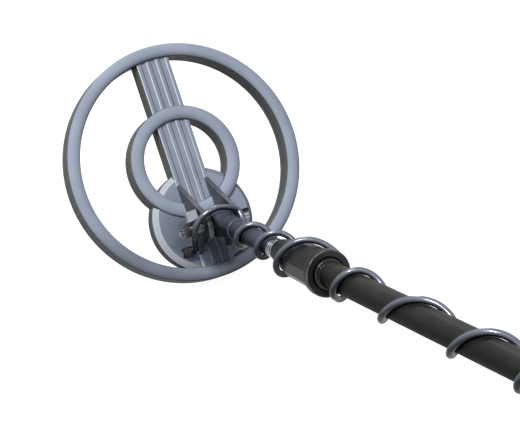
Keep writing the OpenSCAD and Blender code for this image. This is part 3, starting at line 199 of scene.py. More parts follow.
class Graph:
    """A node tree with its output node, and methods that add nodes to it."""

    def __init__(self, tree, output):
        self.tree = tree
        tree.nodes.clear()
        self.out = tree.nodes.new(output)

    def show(self, value):
        """Links value to the tree's output."""
        self.tree.links.new(value.socket, self.out.inputs[0])

    def put(self, kind, settings=None, sockets=None, out=0):
        """A node of that type, its settings first, then its sockets' values or links."""
        node = self.tree.nodes.new("ShaderNode" + kind)
        for key, value in (settings or {}).items():
            setattr(node, key, value)
        for key, value in (sockets or {}).items():
            if isinstance(value, Value):
                self.tree.links.new(value.socket, node.inputs[key])
            elif isinstance(value, tuple) and len(value) == 3 and node.inputs[key].type == "RGBA":
                node.inputs[key].default_value = (*value, 1)
            else:
                node.inputs[key].default_value = value
        return Value(self.tree, node.outputs[out])

    def place(self, scale=(1, 1, 1)):
        """Object coordinates, stretched by scale."""
        return self.put("Mapping", {}, {"Vector": self.put("TexCoord", out=OWN_PLACE),
                                        "Scale": scale})

    def noise(self, scale, detail=3.0, rough=0.5, at=None):
        """Cloudy noise from 0 to 1, with scale patches in a metre."""
        return self.put("TexNoise", {}, {"Vector": at or self.place(), "Scale": scale,
                                         "Detail": detail, "Roughness": rough})

    def fade(self, value, low, high):
        """0 below low and 1 above high, smooth between."""
        return self.put("MapRange", {"interpolation_type": "SMOOTHSTEP"},
                        {"Value": value, "From Min": low, "From Max": high})

    def blend(self, factor, a, b):
        """Colour a where factor is 0 and b where it is 1."""
        return self.put("Mix", {"data_type": "RGBA"},
                        {MIX_FACTOR: factor, MIX_A: a, MIX_B: b}, MIX_COLOUR)

    def maths(self, operation, *values):
        """A Math node on those values."""
        return self.put("Math", {"operation": operation}, dict(enumerate(values)))

    def vectors(self, operation, a, b=(0, 0, 0), out=0):
        """Vector Math of a and b. Out is 1 for the operations that give a number."""
        if not isinstance(b, Value):
            b = tuple(float(x) for x in b)
        return self.put("VectorMath", {"operation": operation}, {0: a, 1: b}, out)

    def line(self, value, spot, low, high):
        """1 where value is within low of spot and 0 where it is further than high."""
        return 1 - self.fade(self.maths("ABSOLUTE", value - spot), low, high)

    def along(self, direction, start):
        """Distance in metres from start along direction."""
        dot = self.vectors("DOT_PRODUCT", self.put("TexCoord", out=OWN_PLACE), direction, 1)
        return dot - float(np.dot(direction, start))

    def away(self, start, axes=(1, 1, 1)):
        """Distance in metres from start, over the axes that are 1."""
        gap = self.vectors("SUBTRACT", self.put("TexCoord", out=OWN_PLACE), start)
        return self.vectors("LENGTH", self.vectors("MULTIPLY", gap, axes), out=1)

    def facing(self, direction):
        """How far the surface faces along direction on the piece itself, whatever its pose."""
        return self.vectors("DOT_PRODUCT", self.put("TexCoord", out=OWN_NORMAL), direction, 1)

    def edge(self, radius):
        """Rounded shading at sharp edges, and how near an edge a point is, from 0 to 1."""
        normal = self.put("Bevel", {"samples": 6}, {"Radius": radius})
        return normal, 1 - self.vectors("DOT_PRODUCT", normal, self.put("NewGeometry", out=1), 1)


class Finish(Graph):
    """One material: a Principled shader with fixed values, and what feeds its sockets."""

    def __init__(self, name, **fixed):
        self.material = bpy.data.materials.get(name) or bpy.data.materials.new(name)
        self.material.use_nodes = True
        FINISHES[name] = self.material
        super().__init__(self.material.node_tree, "ShaderNodeOutputMaterial")
        self.shader = self.tree.nodes.new("ShaderNodeBsdfPrincipled")
        self.tree.links.new(self.shader.outputs[0], self.out.inputs[0])
        for key, value in fixed.items():
            self.shader.inputs[key.replace("_", " ")].default_value = value

    def feed(self, name, value):
        """Links value to the shader's socket of that name."""
        self.tree.links.new(value.socket, self.shader.inputs[name])

    def relief(self, height, depth, normal=None):
        """Bumps of that depth in metres, on the rounded normal where one is given."""
        sockets = {"Height": height, "Distance": depth, "Strength": 1.0}
        if normal is not None:
            sockets["Normal"] = normal
        self.feed("Normal", self.put("Bump", {}, sockets))


def seen_rays(f):
    """1 for what the camera sees, straight on or in gloss and glass, and 0 for other light."""
    camera, glossy, through_glass = (f.put("LightPath", out=k) for k in RAY_OUTPUTS)
    return f.maths("MAXIMUM", f.maths("MAXIMUM", camera, glossy), through_glass)


def shade_of(colour, share, lift=0.0):
    """The colour with each part times share, plus lift, and no brighter than 1."""
    return tuple(min(1.0, c * share + lift) for c in colour)


def moulded(name, colour, rough=0.5, grain=900.0, depth=0.00006, edge=0.0006, worn=None,
            below=1.0, **fixed):
    """Moulded or painted surface: mottled colour, fine grain, soft edges that wear pale. Below is
    the share of its colour that is left as painted shade where it faces down."""
    f = Finish(name, **fixed)
    normal, rim = f.edge(edge)
    patch = f.noise(28.0, 4.0)
    shade = f.blend(f.fade(patch, 0.35, 0.68), shade_of(colour, 0.86),
                    shade_of(colour, 1.12, 0.003))
    # Painted shade where the face looks down and to the left; its gloss also turns more metallic
    # there.
    if below < 1:
        low = f.fade(f.facing(SHADE_SIDE), -0.55, 0.60)
        shade = f.blend(low, shade, shade_of(colour, below))
        f.feed("Metallic", low * 0.30 + SATIN["Metallic"])
    wear = f.fade(rim, 0.04, 0.30) * f.fade(f.noise(160.0, 3.0), 0.38, 0.62) * 0.55
    f.feed("Base Color", f.blend(wear, shade, worn or shade_of(colour, 1.5, 0.02)))
    f.feed("Roughness", f.fade(patch, 0.2, 0.8) * 0.10 + (rough - 0.05))
    f.relief(f.noise(grain, 2.0), depth, normal)


def two_tone(f, top, side):
    """The head's two colours by how far a face looks up from the head, walls darker towards their
    foot, mottled and speckled, with painted shade where it looks down."""
    patch, speck = f.noise(22.0, 4.0), f.noise(1400.0, 2.0)
    height = f.along(HEAD_NORMAL, RING_CENTRE * MM)
    wall = f.blend(f.fade(height, -0.030, -0.004), shade_of(side, 0.55), side)
    face = f.blend(f.fade(patch, 0.32, 0.7), shade_of(top, 0.92), shade_of(top, 1.06))
    paint = f.blend(f.fade(f.facing(HEAD_NORMAL), 0.30, 0.60), wall, face)
    # Painted shade where a face looks down.
    under = f.fade(f.facing(-HEAD_BACK), 0.05, 0.9) * 0.62
    paint = f.blend(under, paint, shade_of(side, 0.30))
    return f.blend(f.fade(speck, 0.58, 0.75) * 0.22, paint, (0.50, 0.54, 0.60)), speck


def speckled(f, paint, speck, normal):
    """Puts the head's paint on, with its fine speckle in the gloss and in the bumps."""
    f.feed("Base Color", paint)
    f.feed("Roughness", f.fade(speck, 0.3, 0.7) * 0.14 + 0.40)
    f.relief(speck, 0.00005, normal)


def ring_paint(name, top, side):
    """Paint of the rings: pale tops over dark walls, worn edges that are partly painted highlights,
    and painted shade on one side.
    """
    f = Finish(name, **MATT_PAINT)
    normal, rim = f.edge(0.0007)
    paint, speck = two_tone(f, top, side)
    # Painted shade, mottled, on one side of the rings.
    rear = f.fade(f.along(HEAD_TURN @ SHADED_HEAD_SIDE, RING_CENTRE * MM), 0.092, 0.138)
    paint = f.blend(rear * (f.noise(30.0, 4.0) * 0.5 + 0.40), paint, shade_of(top, 0.35))
    # Pale worn edges, partly a painted highlight along the rims.
    wear = f.fade(rim, 0.05, 0.3) * f.fade(f.noise(120.0, 3.0), 0.45, 0.65) * 0.55
    speckled(f, f.blend(wear, paint, WORN_AND_LIT_PAINT), speck, normal)


def deck_paint(name, top, side):
    """Paint of spoke and disc: painted highlights on the ribs' left edges, painted shadows at their
    right edges, painted shade round the hinge's foot, painted light on the disc's left slope,
    scuffed rims, and the recess with painted shade in its pit and painted highlights on its two
    ridges."""
    f = Finish(name, **MATT_PAINT)
    normal, rim = f.edge(0.0008)
    paint, speck = two_tone(f, top, side)
    facing, across = f.facing(HEAD_NORMAL), f.along((1, 0, 0), (0, 0, 0))

    # The ribs: where a point lies within one pitch, the painted shadow just past each rib's right
    # edge and the painted highlight near its left edge.
    place = f.maths("WRAP", across + RIB_HALF, RIB_PITCH, 0.0)
    on_spoke = f.line(across, 0.0, 0.0203, 0.0206) * f.fade(facing, 0.15, 0.4)
    rib_shadow = f.line(place, 0.0058, 0.0002, 0.0009) * on_spoke
    # Painted highlight: a pale line near each rib's left edge.
    edge = f.line(place, 0.0006, 0.0003, 0.0009) * on_spoke
    paint = f.blend(rib_shadow * 0.6, paint, shade_of(top, 0.30))

    # Painted shade round the hinge's foot, painted light on the slope on the disc's left, and the
    # worn rims.
    hinge_shade = (1 - f.fade(f.away(on_head(HINGE_FOOT)), 0.006, 0.078)) * (1 - on_spoke)
    paint = f.blend(hinge_shade * 0.75, paint, shade_of(top, 0.20))
    # Painted light: the slope on the disc's left is paler.
    slope = f.fade(facing, 0.30, 0.45) * (1 - f.fade(facing, 0.80, 0.92))
    paint = f.blend(slope * f.fade(0.010 - across, 0.0, 0.030) * 0.85, paint, WORN_AND_LIT_PAINT)
    wear = f.fade(rim, 0.05, 0.3) * f.fade(f.noise(120.0, 3.0), 0.30, 0.5)
    wear = wear * f.fade(facing, 0.2, 0.5)
    paint = f.blend(wear * 0.75, paint, (0.66, 0.68, 0.70))

    # The recess: painted shade in its pit, and painted highlights on the ridges that stand above
    # the disc.
    x, y = RECESS_AT
    beside = f.line(across, x, 0.0056, 0.0059)
    up_head = f.along(HEAD_BACK, RING_CENTRE * MM) - y
    above = f.along(HEAD_NORMAL, (RING_CENTRE - 5 * HEAD_NORMAL) * MM)
    pit = (1 - f.fade(above, -0.0012, -0.0004)) * f.line(up_head, 0.0, 0.0026, 0.0029)
    ridge = f.fade(above, 0.0002, 0.0006) * (1 - f.fade(up_head, -0.0040, -0.0034))
    paint = f.blend(pit * beside * 0.9, paint, shade_of(top, 0.06))
    paint = f.blend(ridge * beside * 0.85, paint, (0.70, 0.73, 0.78))
    # The ribs' painted highlights go on last.
    speckled(f, f.blend(edge * 0.9, paint, (0.74, 0.76, 0.80)), speck, normal)


def cheek_gloss(name, near, far):
    """The cheeks: painted shade round the pin and painted light further up their ramps, glossy,
    with bright worn edges that are partly painted highlights.
    """
    f = Finish(name, **SATIN)
    normal, rim = f.edge(0.0014)
    patch = f.noise(45.0, 5.0, 0.6)
    # Painted shade near the pin and painted light further up the ramps.
    shade = f.blend(f.fade(f.away(PIN * MM) + patch * 0.012, 0.022, 0.046), near, far)
    # Worn edges, partly painted highlight streaks.
    wear = f.fade(rim, 0.04, 0.3) * f.fade(f.noise(90.0, 3.0), 0.35, 0.6)
    f.feed("Base Color", f.blend(wear * 0.7, shade, (0.50, 0.53, 0.58)))
    f.feed("Roughness", f.fade(patch, 0.3, 0.7) * 0.16 + 0.20)
    f.relief(patch, 0.0002, normal)


def lever_paint(name, block, neck):
    """The lever: its thumb block is pale, and its neck and hub are black."""
    f = Finish(name, Specular_IOR_Level=0.2)
    normal, rim = f.edge(0.0009)
    out = f.along(HEAD_BACK, (PIN + HEAD_BACK * 10.4) * MM)
    grainy = f.noise(900.0, 2.0)
    pale = f.blend(f.fade(f.noise(60.0, 4.0), 0.35, 0.7), shade_of(block, 0.9), block)
    paint = f.blend(f.fade(out, -0.0004, 0.0004), neck, pale)
    f.feed("Base Color", f.blend(f.fade(rim, 0.06, 0.3) * 0.5, paint, shade_of(block, 1.5, 0.02)))
    f.feed("Roughness", f.fade(grainy, 0.2, 0.8) * 0.12 + 0.38)
    f.relief(grainy, 0.00005, normal)


def metal(name, colour, rough=0.28, lay=(1, 60, 60), edge=0.0004):
    """Turned or brushed metal: fine lines across the lay, brighter worn edges."""
    f = Finish(name, Metallic=1.0)
    normal, rim = f.edge(edge)
    lines = f.noise(60.0, 4.0, 0.6, f.place(lay))
    stain = f.fade(f.noise(45.0, 4.0), 0.4, 0.75) * 0.6
    shade = f.blend(stain, colour, shade_of(colour, 0.72))
    f.feed("Base Color", f.blend(f.fade(rim, 0.05, 0.3), shade, shade_of(colour, 1.2)))
    f.feed("Roughness", f.fade(lines, 0.3, 0.7) * 0.18 + (rough - 0.09))
    f.relief(lines, 0.00003, normal)


def thread_metal(name, crest, root):
    """The ferrule's metal: bright crests, and painted shade in the thread below 10.3 mm from the
    axis.
    """
    f = Finish(name, Metallic=1.0)
    reach = f.away(PIN * MM, (1, 0, 1))
    stain = f.noise(300.0, 3.0)
    # Painted shade in the thread's roots.
    f.feed("Base Color", f.blend(f.fade(reach, 0.0103, 0.0109), root, crest))
    f.feed("Roughness", f.fade(stain, 0.3, 0.7) * 0.12 + 0.18)
    f.relief(stain, 0.00002)


def collar_gloss(name, colour, worn):
    """The lock collar: satin black, with pale lines along both edges of its rim that are partly
    wear and partly painted highlights.
    """
    f = Finish(name, **SATIN)
    patch = f.noise(28.0, 4.0)
    behind = f.along((0, -1, 0), PIN * MM)
    # Pale lines on the rim's two edges: wear, and a painted highlight.
    lines = f.line(behind, 0.2718, 0.0003, 0.0008) + f.line(behind, 0.2797, 0.0003, 0.0008)
    wear = lines * f.fade(f.away(PIN * MM, (1, 0, 1)), 0.0229, 0.0234)
    wear = wear * f.fade(f.noise(110.0, 3.0), 0.30, 0.55)
    shade = f.blend(f.fade(patch, 0.35, 0.68), colour, shade_of(colour, 1.3))
    f.feed("Base Color", f.blend(wear * 0.45, shade, worn))
    f.feed("Roughness", f.fade(patch, 0.2, 0.8) * 0.10 + 0.24)
    f.relief(f.noise(700.0, 2.0), 0.00003)


def sheath(name, colour):
    """The lead's sheath: satin rubber, with painted light where it faces up and painted shade
    below, and scuffs.
    """
    f = Finish(name, **SATIN)
    scuff = f.noise(90.0, 5.0, 0.62)
    # Painted light where the sheath faces up, painted shade where it faces away.
    lit_and_shaded = f.blend(f.fade(f.facing(LIT_SIDE), -0.1, 0.95), shade_of(colour, 0.22),
                       shade_of(colour, 2.0))
    f.feed("Base Color", f.blend(f.fade(scuff, 0.52, 0.74) * 0.15, lit_and_shaded,
                                 shade_of(colour, 2.4, 0.01)))
    f.feed("Roughness", f.fade(scuff, 0.35, 0.75) * 0.10 + 0.20)
    f.relief(f.noise(160.0, 2.0), 0.00012)


def foam(name, colour, cell=900.0):
    """Closed-cell foam: pitted, matt, darker in its pits."""
    f = Finish(name, Roughness=0.9, Specular_IOR_Level=0.3, Sheen_Weight=0.08)
    pits = f.put("TexVoronoi", {}, {"Vector": f.place(), "Scale": cell})
    f.feed("Base Color", f.blend(f.fade(pits, 0.1, 0.6), shade_of(colour, 0.55), colour))
    f.relief(f.fade(pits, 0.0, 0.7) + f.noise(60.0, 3.0) * 0.6, 0.0003)


def woven(name, colour, pitch=0.0012):
    """Woven cloth from the piece's own UV map in metres: two crossing threads, over and under."""
    f = Finish(name, Roughness=0.85, Sheen_Weight=0.25, Sheen_Roughness=0.5)
    uv = f.put("UVMap", {"uv_map": "cloth"})
    warp, weft = (f.maths("SINE", f.put("SeparateXYZ", {}, {0: uv}, out=k) * (TAU / pitch))
                  for k in (0, 1))
    knots = warp * weft * 0.5 + 0.5
    fuzz = f.noise(700.0, 3.0)
    f.feed("Base Color", f.blend(f.fade(knots, 0.2, 0.8) * 0.7 + f.fade(fuzz, 0.4, 0.8) * 0.3,
                                 shade_of(colour, 0.5), shade_of(colour, 1.5)))
    f.relief(knots + fuzz * 0.5, 0.00025)


def windings(name, colour, pitch=0.0009):
    """Enamelled turns of wire round the head's middle, one pitch apart."""
    f = Finish(name, Metallic=0.85, Roughness=0.32)
    centre = RING_CENTRE * MM
    turn = f.maths("SINE", f.away(centre) * (TAU / pitch))
    layer = f.maths("SINE", f.along(HEAD_NORMAL, centre) * (TAU / pitch))
    ridge = f.maths("MAXIMUM", turn, layer) * 0.5 + 0.5
    f.feed("Base Color", f.blend(ridge, shade_of(colour, 0.45), colour))
    f.relief(ridge, 0.0002)


def circuit(name, colour):
    """Solder resist with copper tracks showing through, in straight runs."""
    f = Finish(name, Roughness=0.35, Coat_Weight=0.3)
    tracks = f.put("TexBrick", {"offset": 0.37, "squash": 1.0},
                   {"Vector": f.place(), "Scale": 90.0, "Mortar Size": 0.035,
                    "Color1": (0, 0, 0), "Color2": (0, 0, 0), "Mortar": (1, 1, 1)})
    covered = f.put("RGBToBW", {}, {0: tracks}) * 0.5
    f.feed("Base Color", f.blend(covered, colour, (0.16, 0.42, 0.16)))
    f.relief(f.noise(500.0), 0.00003)


def clear(name, colour):
    """Clear window with a faint haze of wiping marks."""
    f = Finish(name, Transmission_Weight=0.92, IOR=1.49)
    haze = f.noise(60.0, 5.0, 0.6)
    f.feed("Base Color", f.blend(f.fade(haze, 0.4, 0.7), colour, shade_of(colour, 0.93)))
    f.feed("Roughness", f.fade(haze, 0.45, 0.75) * 0.08 + 0.02)


def display(name, ground, mark):
    """Reflective display: a dial of fine bars across its width, and nothing written on it."""
    f = Finish(name, Roughness=0.4)
    across = f.along((1, 0, 0), (0, 0, 0))
    up = f.along(POD_TURN[:, 1], (POD_AT + POD_TURN @ DISPLAY_AT) * MM)
    bars = f.fade(f.maths("PINGPONG", across, 0.00125), 0.00045, 0.00055)
    span = f.line(across, 0.0, 0.0235, 0.0237)
    row = f.line(up, -0.006, 0.0028, 0.0030)
    line = f.line(up, 0.0065, 0.0003, 0.0004)
    grain = f.noise(900.0)
    shade = f.blend(f.fade(grain, 0.3, 0.7), ground, shade_of(ground, 0.93))
    f.feed("Base Color", f.blend(f.maths("MAXIMUM", bars * row * span, line * span), shade, mark))
    f.relief(grain, 0.00001)


def on_head(points):
    """Points in the head's own frame, in millimetres, placed in metres."""
    return ((points - PIN_ON_HEAD) @ HEAD_TURN.T + PIN) * MM


def on_shaft(x, behind, up):
    """Points behind the pin along the shaft, in millimetres, placed in metres."""
    x, behind, up = np.broadcast_arrays(x, behind, up)
    return np.stack([x, PIN[1] - behind, PIN[2] + up], -1) * MM


def turned(turn, at, points):
    """Points of a leaned piece, in millimetres, placed in metres."""
    return (points @ turn.T + at) * MM


def surface(name, grid, body, finish, stands_for=(), loop_u=False, loop_v=False,
            cap=False, uv=None, soft=35.0):
    """A grid of points made into a closed or open skin. loop_u and loop_v join its sides."""
    n, m = grid.shape[:2]
    i = np.arange(n if loop_u else n - 1)[:, None]
    j = np.arange(m if loop_v else m - 1)[None, :]
    i, j = np.broadcast_arrays(i, j)
    up, side = (i + 1) % n, (j + 1) % m
    quads = np.stack([i * m + j, i * m + side, up * m + side, up * m + j], -1).reshape(-1, 4)
    faces = quads.tolist()
    if cap:
        faces += [list(range(m))[::-1], [(n - 1) * m + k for k in range(m)]]
    mesh = bpy.data.meshes.new(name)
    mesh.from_pydata(grid.reshape(-1, 3).tolist(), [], faces)
    if uv is not None:
        layer = mesh.uv_layers.new(name="cloth")
        spots = np.array([k for face in faces for k in face])
        layer.data.foreach_set("uv", uv.reshape(-1, 2)[spots].astype(np.float32).ravel())
    shape = bmesh.new()
    shape.from_mesh(mesh)
    bmesh.ops.remove_doubles(shape, verts=shape.verts, dist=MERGE)
    bmesh.ops.recalc_face_normals(shape, faces=shape.faces)
    shape.to_mesh(mesh)
    shape.free()
    mesh.shade_smooth()
    mesh.set_sharp_from_angle(angle=math.radians(soft))
    piece = bpy.data.objects.new(name, mesh)
    bpy.context.scene.collection.objects.link(piece)
    mesh.materials.append(FINISHES[finish])
    if isinstance(body, str):
        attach(piece, body)
    else:
        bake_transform(piece)
    if stands_for:
        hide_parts(*stands_for)
    return piece


def soft_edged(node, width, finish=None):
    """A copy of the frame's node, merged and with its sharp edges rounded to that width in mm."""
    entry, sharp = SUBPARTS[node], math.radians(32)
    shape = bmesh.new()
    shape.from_mesh(NODES[node].data)
    bmesh.ops.remove_doubles(shape, verts=shape.verts, dist=MERGE)
    bmesh.ops.dissolve_limit(shape, angle_limit=math.radians(0.5), verts=shape.verts,
                             edges=shape.edges)
    mesh = bpy.data.meshes.new(node + "_soft")
    shape.to_mesh(mesh)
    shape.free()
    mesh.shade_smooth()
    mesh.set_sharp_from_angle(angle=sharp)
    mesh.materials.clear()
    mesh.materials.append(FINISHES[finish or entry])
    piece = bpy.data.objects.new(node + "_soft", mesh)
    bpy.context.scene.collection.objects.link(piece)
    rim = piece.modifiers.new("rim", "BEVEL")
    rim.width, rim.segments, rim.limit_method = width * MM, 3, "ANGLE"
    rim.angle_limit, rim.harden_normals = sharp, True
    rim.miter_outer = "MITER_ARC"
    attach(piece, BODY_OF[node])
    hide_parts(node)
    return piece


def eased(points, radii, steps=6):
    """A closed outline with each corner rounded: an arc tangent to both of the corner's sides."""
    p, r = np.asarray(points, float), np.asarray(radii, float)
    back, on = np.roll(p, 1, 0) - p, np.roll(p, -1, 0) - p
    back /= np.linalg.norm(back, axis=1)[:, None]
    on /= np.linalg.norm(on, axis=1)[:, None]
    half = np.arccos(np.clip((back * on).sum(1), -1, 1)) / 2
    mid = (back + on) / np.linalg.norm(back + on, axis=1)[:, None]
    centre = p + mid * (r / np.sin(half))[:, None]
    start = p + back * (r / np.tan(half))[:, None] - centre
    end = p + on * (r / np.tan(half))[:, None] - centre
    a = np.arctan2(start[:, 1], start[:, 0])
    swing = (np.arctan2(end[:, 1], end[:, 0]) - a + math.pi) % TAU - math.pi
    angle = a[:, None] + swing[:, None] * np.linspace(0, 1, steps)
    arc = np.stack([np.cos(angle), np.sin(angle)], -1) * r[:, None, None]
    return (centre[:, None] + arc).reshape(-1, 2)


def filled(outline, step):
    """The outline with extra points, so that no side is longer than step."""
    nxt = np.roll(outline, -1, 0)
    count = np.maximum(1, np.ceil(np.linalg.norm(nxt - outline, axis=1) / step)).astype(int)
    which = np.repeat(np.arange(len(outline)), count)
    part = (np.arange(len(which)) - np.repeat(np.cumsum(count) - count, count)) / count[which]
    return outline[which] + (nxt - outline)[which] * part[:, None]


def spun(outline, turns, wobble=None):
    """An outline of radius and height turned round: x = r cos a, y = r sin a, z = height."""
    angle = np.linspace(0, TAU, turns, endpoint=False)[:, None]
    r, z, angle = np.broadcast_arrays(outline[None, :, 0], outline[None, :, 1], angle)
    if wobble is not None:
        r = wobble(r, z, angle)
    return np.stack([r * np.cos(angle), r * np.sin(angle), z], -1)


def ring_grid(outer, width, depth):
    """Section of a ring turned round: upright walls with a fine parting line near the foot, and a
    top that drops from its middle by crown * (distance / half width) squared."""
    inner, wall, crown, skirt = outer - width, 2.4, 2.6, 9.0
    line, half, cut = -depth + 4, 0.35, 0.3
    foot, rim, corner, fine = 0.7, 0.4, 1.7, 0.05
    corners = [
        [inner, -depth], [inner + wall, -depth], [inner + wall, -wall], [outer - wall, -wall],
        [outer - wall, -depth], [outer, -depth], [outer, line - half], [outer - cut, line],
        [outer, line + half], [outer, 0], [inner, 0], [inner, line + half],
        [inner + cut, line], [inner, line - half]]
    ease = [foot, rim, 1, 1, rim, foot, *[fine] * 3, corner, corner, *[fine] * 3]
    outline = filled(eased(corners, ease, 6), 1.6)
    off = (outline[:, 0] - outer + width / 2) / (width / 2)
    outline[:, 1] -= crown * off**2 * np.clip(1 + outline[:, 1] / skirt, 0, 1)
    return spun(outline, 240)


def spoke_grid(s):
    """The spoke's section of ribs and channels, drawn from the small ring out to the large one
    and stopped a seat's width short of both."""
    seat = 0.15
    half, deck, foot = s.spoke / MM / 2, -s.deck / MM, -s.depth / MM
    rib, low = s.rib / MM, -(s.deck + s.channel) / MM
    pitch = (2 * half - rib) / (s.ribs - 1)
    corners, ease = [[half, foot], [-half, foot], [-half, deck]], [0, 0, 1.0]
    for k in range(s.ribs - 1):
        a = -half + k * pitch + rib
        b = a + pitch - rib
        corners += [[a, deck], [a, low], [b, low], [b, deck]]
        ease += [0.3, 0.35, 0.3, 0.9]
    corners.append([half, deck])
    ease.append(1.0)
    outline = filled(eased(corners, ease, 5), 3.0)
    near = np.sqrt((s.small_r / MM + seat) ** 2 - outline[:, 0] ** 2)
    far = np.sqrt(((s.big_r - s.big_w) / MM - seat) ** 2 - outline[:, 0] ** 2)
    t = np.linspace(0, 1, 9)[:, None]
    y = near + (far - near) * t
    x, z = np.broadcast_arrays(outline[None, :, 0], outline[None, :, 1])
    return np.stack([np.broadcast_to(x, y.shape), y, np.broadcast_to(z, y.shape)], -1)


def rounded_section(angle, wide, high, power):
    """A box with round corners: |x/w|^n + |z/h|^n = 1, an ellipse where n is 2."""
    c, s = np.cos(angle), np.sin(angle)
    reach = (np.abs(c) ** power + np.abs(s) ** power) ** (-1 / power)
    return wide * reach * c, high * reach * s


def tongue_grid(s):
    """The tongue: a broad round eye that narrows smoothly into its round sleeve, whose mouth
    has an eased lip round the rod's shoulder."""
    eye, wide, tube = s.tongue_r / MM, s.tongue_w / MM / 2, s.sleeve_r / MM
    narrow, mouth, shoulder = 30, [49.8, 50.4, 50.8, 51.0], 11.1 / 11.8
    behind = np.concatenate([
        -eye * np.cos(np.linspace(0, math.pi / 2, 22)), np.linspace(1, narrow, 24),
        np.linspace(narrow + 1, mouth[0], 8), mouth[1:], mouth[-1:]])[:, None]
    angle = np.linspace(0, TAU, 96, endpoint=False)[None, :]
    t = np.clip(behind / narrow, 0, 1)
    t = t * t * (3 - 2 * t)
    cap = np.sqrt(np.clip(1 - np.clip(-behind / eye, 0, 1) ** 2, 0, 1))
    high = (eye + (tube - eye) * t) * cap
    wide = (wide + (tube - wide) * t) * np.clip(0.93 + cap * 0.4, 0, 1)
    lip = np.interp(behind, mouth, [0, 0.15, 0.45, 0.8])
    x, z = rounded_section(angle, wide - lip, np.maximum(high - lip, 0.0), 7 - 5 * t)
    x[-1], z[-1] = x[-1] * shoulder, z[-1] * shoulder
    return on_shaft(x, np.broadcast_to(behind, x.shape), z)


def ferrule_grid(s):
    """A bright screw thread: the radius follows a rounded wave that climbs one pitch a turn.
    Smooth plugs before and behind it sit in the rod and in the collar."""
    crest, root, plug, pitch = s.rod_r / MM, 9.7, 9.1, 4.3
    start, end = 150, 166
    behind = np.concatenate([[131, start - 0.1], np.linspace(start + 0.05, end - 0.05, 150),
                             [end + 0.1, 185]])[:, None]
    angle = np.linspace(0, TAU, 96, endpoint=False)[None, :]
    wave = (0.5 + 0.5 * np.cos(TAU * (behind - 151.7) / pitch - angle)) ** 0.8
    r = np.where((behind > start) & (behind < end), root + (crest - root) * wave, plug)
    return on_shaft(r * np.cos(angle), np.broadcast_to(behind, r.shape), r * np.sin(angle))


def collar_grid():
    """The lock collar: an eased profile turned round, with ten flats pressed into its barrel.
    The profile gives radius and distance behind the pin, from the nose back to the rim."""
    bore, tube_bore, mouth, rim = 11.4, 13.9, 17.3, 24.2
    corners = [
        [bore, 166.5], [12.6, 166.5], [20.3, 210], [21.5, 267], [21.6, 268.2], [rim, 271.8],
        [rim, 280], [mouth, 280], [mouth, 272], [tube_bore, 272], [tube_bore, 173], [bore, 172.6]]
    ease = [0.3, 0.8, 14, 0.3, 1.0, 1.2, 1.0, 0.8, 0.4, 0.3, 0.3, 0.3]
    outline = filled(eased(corners, ease, 7), 2.5)

    def flats(r, z, angle, count=10):
        sector = TAU / count
        local = (angle + sector / 2) % sector - sector / 2
        grow = np.interp(z, [206, 212, 267, 267.6], [-0.6, 1.0, 1.0, -1.5])
        edge = np.interp(z, [210, 267], [20.3, 21.5]) - grow
        flat = edge / np.cos(local)
        outside = (r > 18.5) & (z > 203) & (z < 267.6)
        return np.where(outside, np.minimum(r, flat), r)

    p = spun(outline, 400, flats)
    return on_shaft(p[..., 0], p[..., 2], p[..., 1])


# Turn number, distance behind the pin and radius of the wound lead, in millimetres.
WINDING = np.array([
    [0.53, 17, 20.9], [0.58, 21, 19.4], [0.64, 27, 17.2], [0.75, 41, 16.6], [0.84, 52, 16.6],
    [1, 71, 14.8], [1.5, 99.5, 14.7], [2, 129, 15.0], [2.5, 157, 17.2], [2.75, 173, 19.0],
    [3, 190, 21.2], [3.25, 216.5, 24.6], [3.5, 240, 24.9], [3.75, 274, 28.4], [3.79, 279.5, 28.3],
    [4, 310, 17.2], [4.25, 333.5, 17.2], [4.5, 349, 17.2], [5, 407, 17.2], [5.5, 477, 17.2],
    [6, 532, 17.2], [6.5, 594, 17.2], [7, 640, 17.2], [8, 729, 17.2], [8.387, 758, 17.2]])
# The angle that turns are counted from, and the turns at which the lead reaches the stem's
# winding, reaches the shaft and leaves it.
TURN_ZERO = math.radians(229.3)
STEM_TURN, SHAFT_TURN, LAST_TURN = 0.75, 2.75, 8.387
# The lead's way out of its gland and over the hinge, on the head, in millimetres.
OVER_HINGE = np.array([
    [-38.46, -101, -2.22], [-33.54, -101, 1.22], [-28.63, -101, 4.66], [-27, -102, 11],
    [-29, -98.5, 20], [-31.5, -95, 30], [-34, -92, 40.5], [-36, -89, 50], [-36.5, -85.5, 56],
    [-34, -78, 62.5], [-28.5, -72, 66], [-22, -68.5, 69], [-15.8, -67, 71], [-5.7, -66, 71.5],
    [4.6, -68.6, 71.3]])
# Distance behind the pin and height over the shaft's axis on the way up to the control unit.
RISE = np.array([[766, 17.2], [775, 18.7], [786, 30.2], [793, 55.2], [798, 83.2]])


def eased_table(table, u):
    """Piecewise cubics through the table's rows, with slopes that never overshoot."""
    t, y = table[:, 0], table[:, 1:]
    h = np.diff(t)[:, None]
    rise = np.diff(y, axis=0) / h
    a, b = rise[:-1], rise[1:]
    mean = np.where(a * b > 0, 2 * a * b / np.where(a + b == 0, 1, a + b), 0)
    slope = np.vstack([rise[:1], mean, rise[-1:]])
    i = np.clip(np.searchsorted(t, u, side="right") - 1, 0, len(t) - 2)
    s = ((u - t[i]) / np.diff(t)[i])[:, None]
    return ((2 * s**3 - 3 * s**2 + 1) * y[i] + (s**3 - 2 * s**2 + s) * slope[i] * h[i]
            + (3 * s**2 - 2 * s**3) * y[i + 1] + (s**3 - s**2) * slope[i + 1] * h[i])


def wound(u):
    """The lead's turns round the shaft, in metres."""
    u = np.atleast_1d(np.asarray(u, float))
    behind, r = eased_table(WINDING, u).T
    angle = TURN_ZERO - TAU * u
    return on_shaft(r * np.cos(angle), behind, r * np.sin(angle))


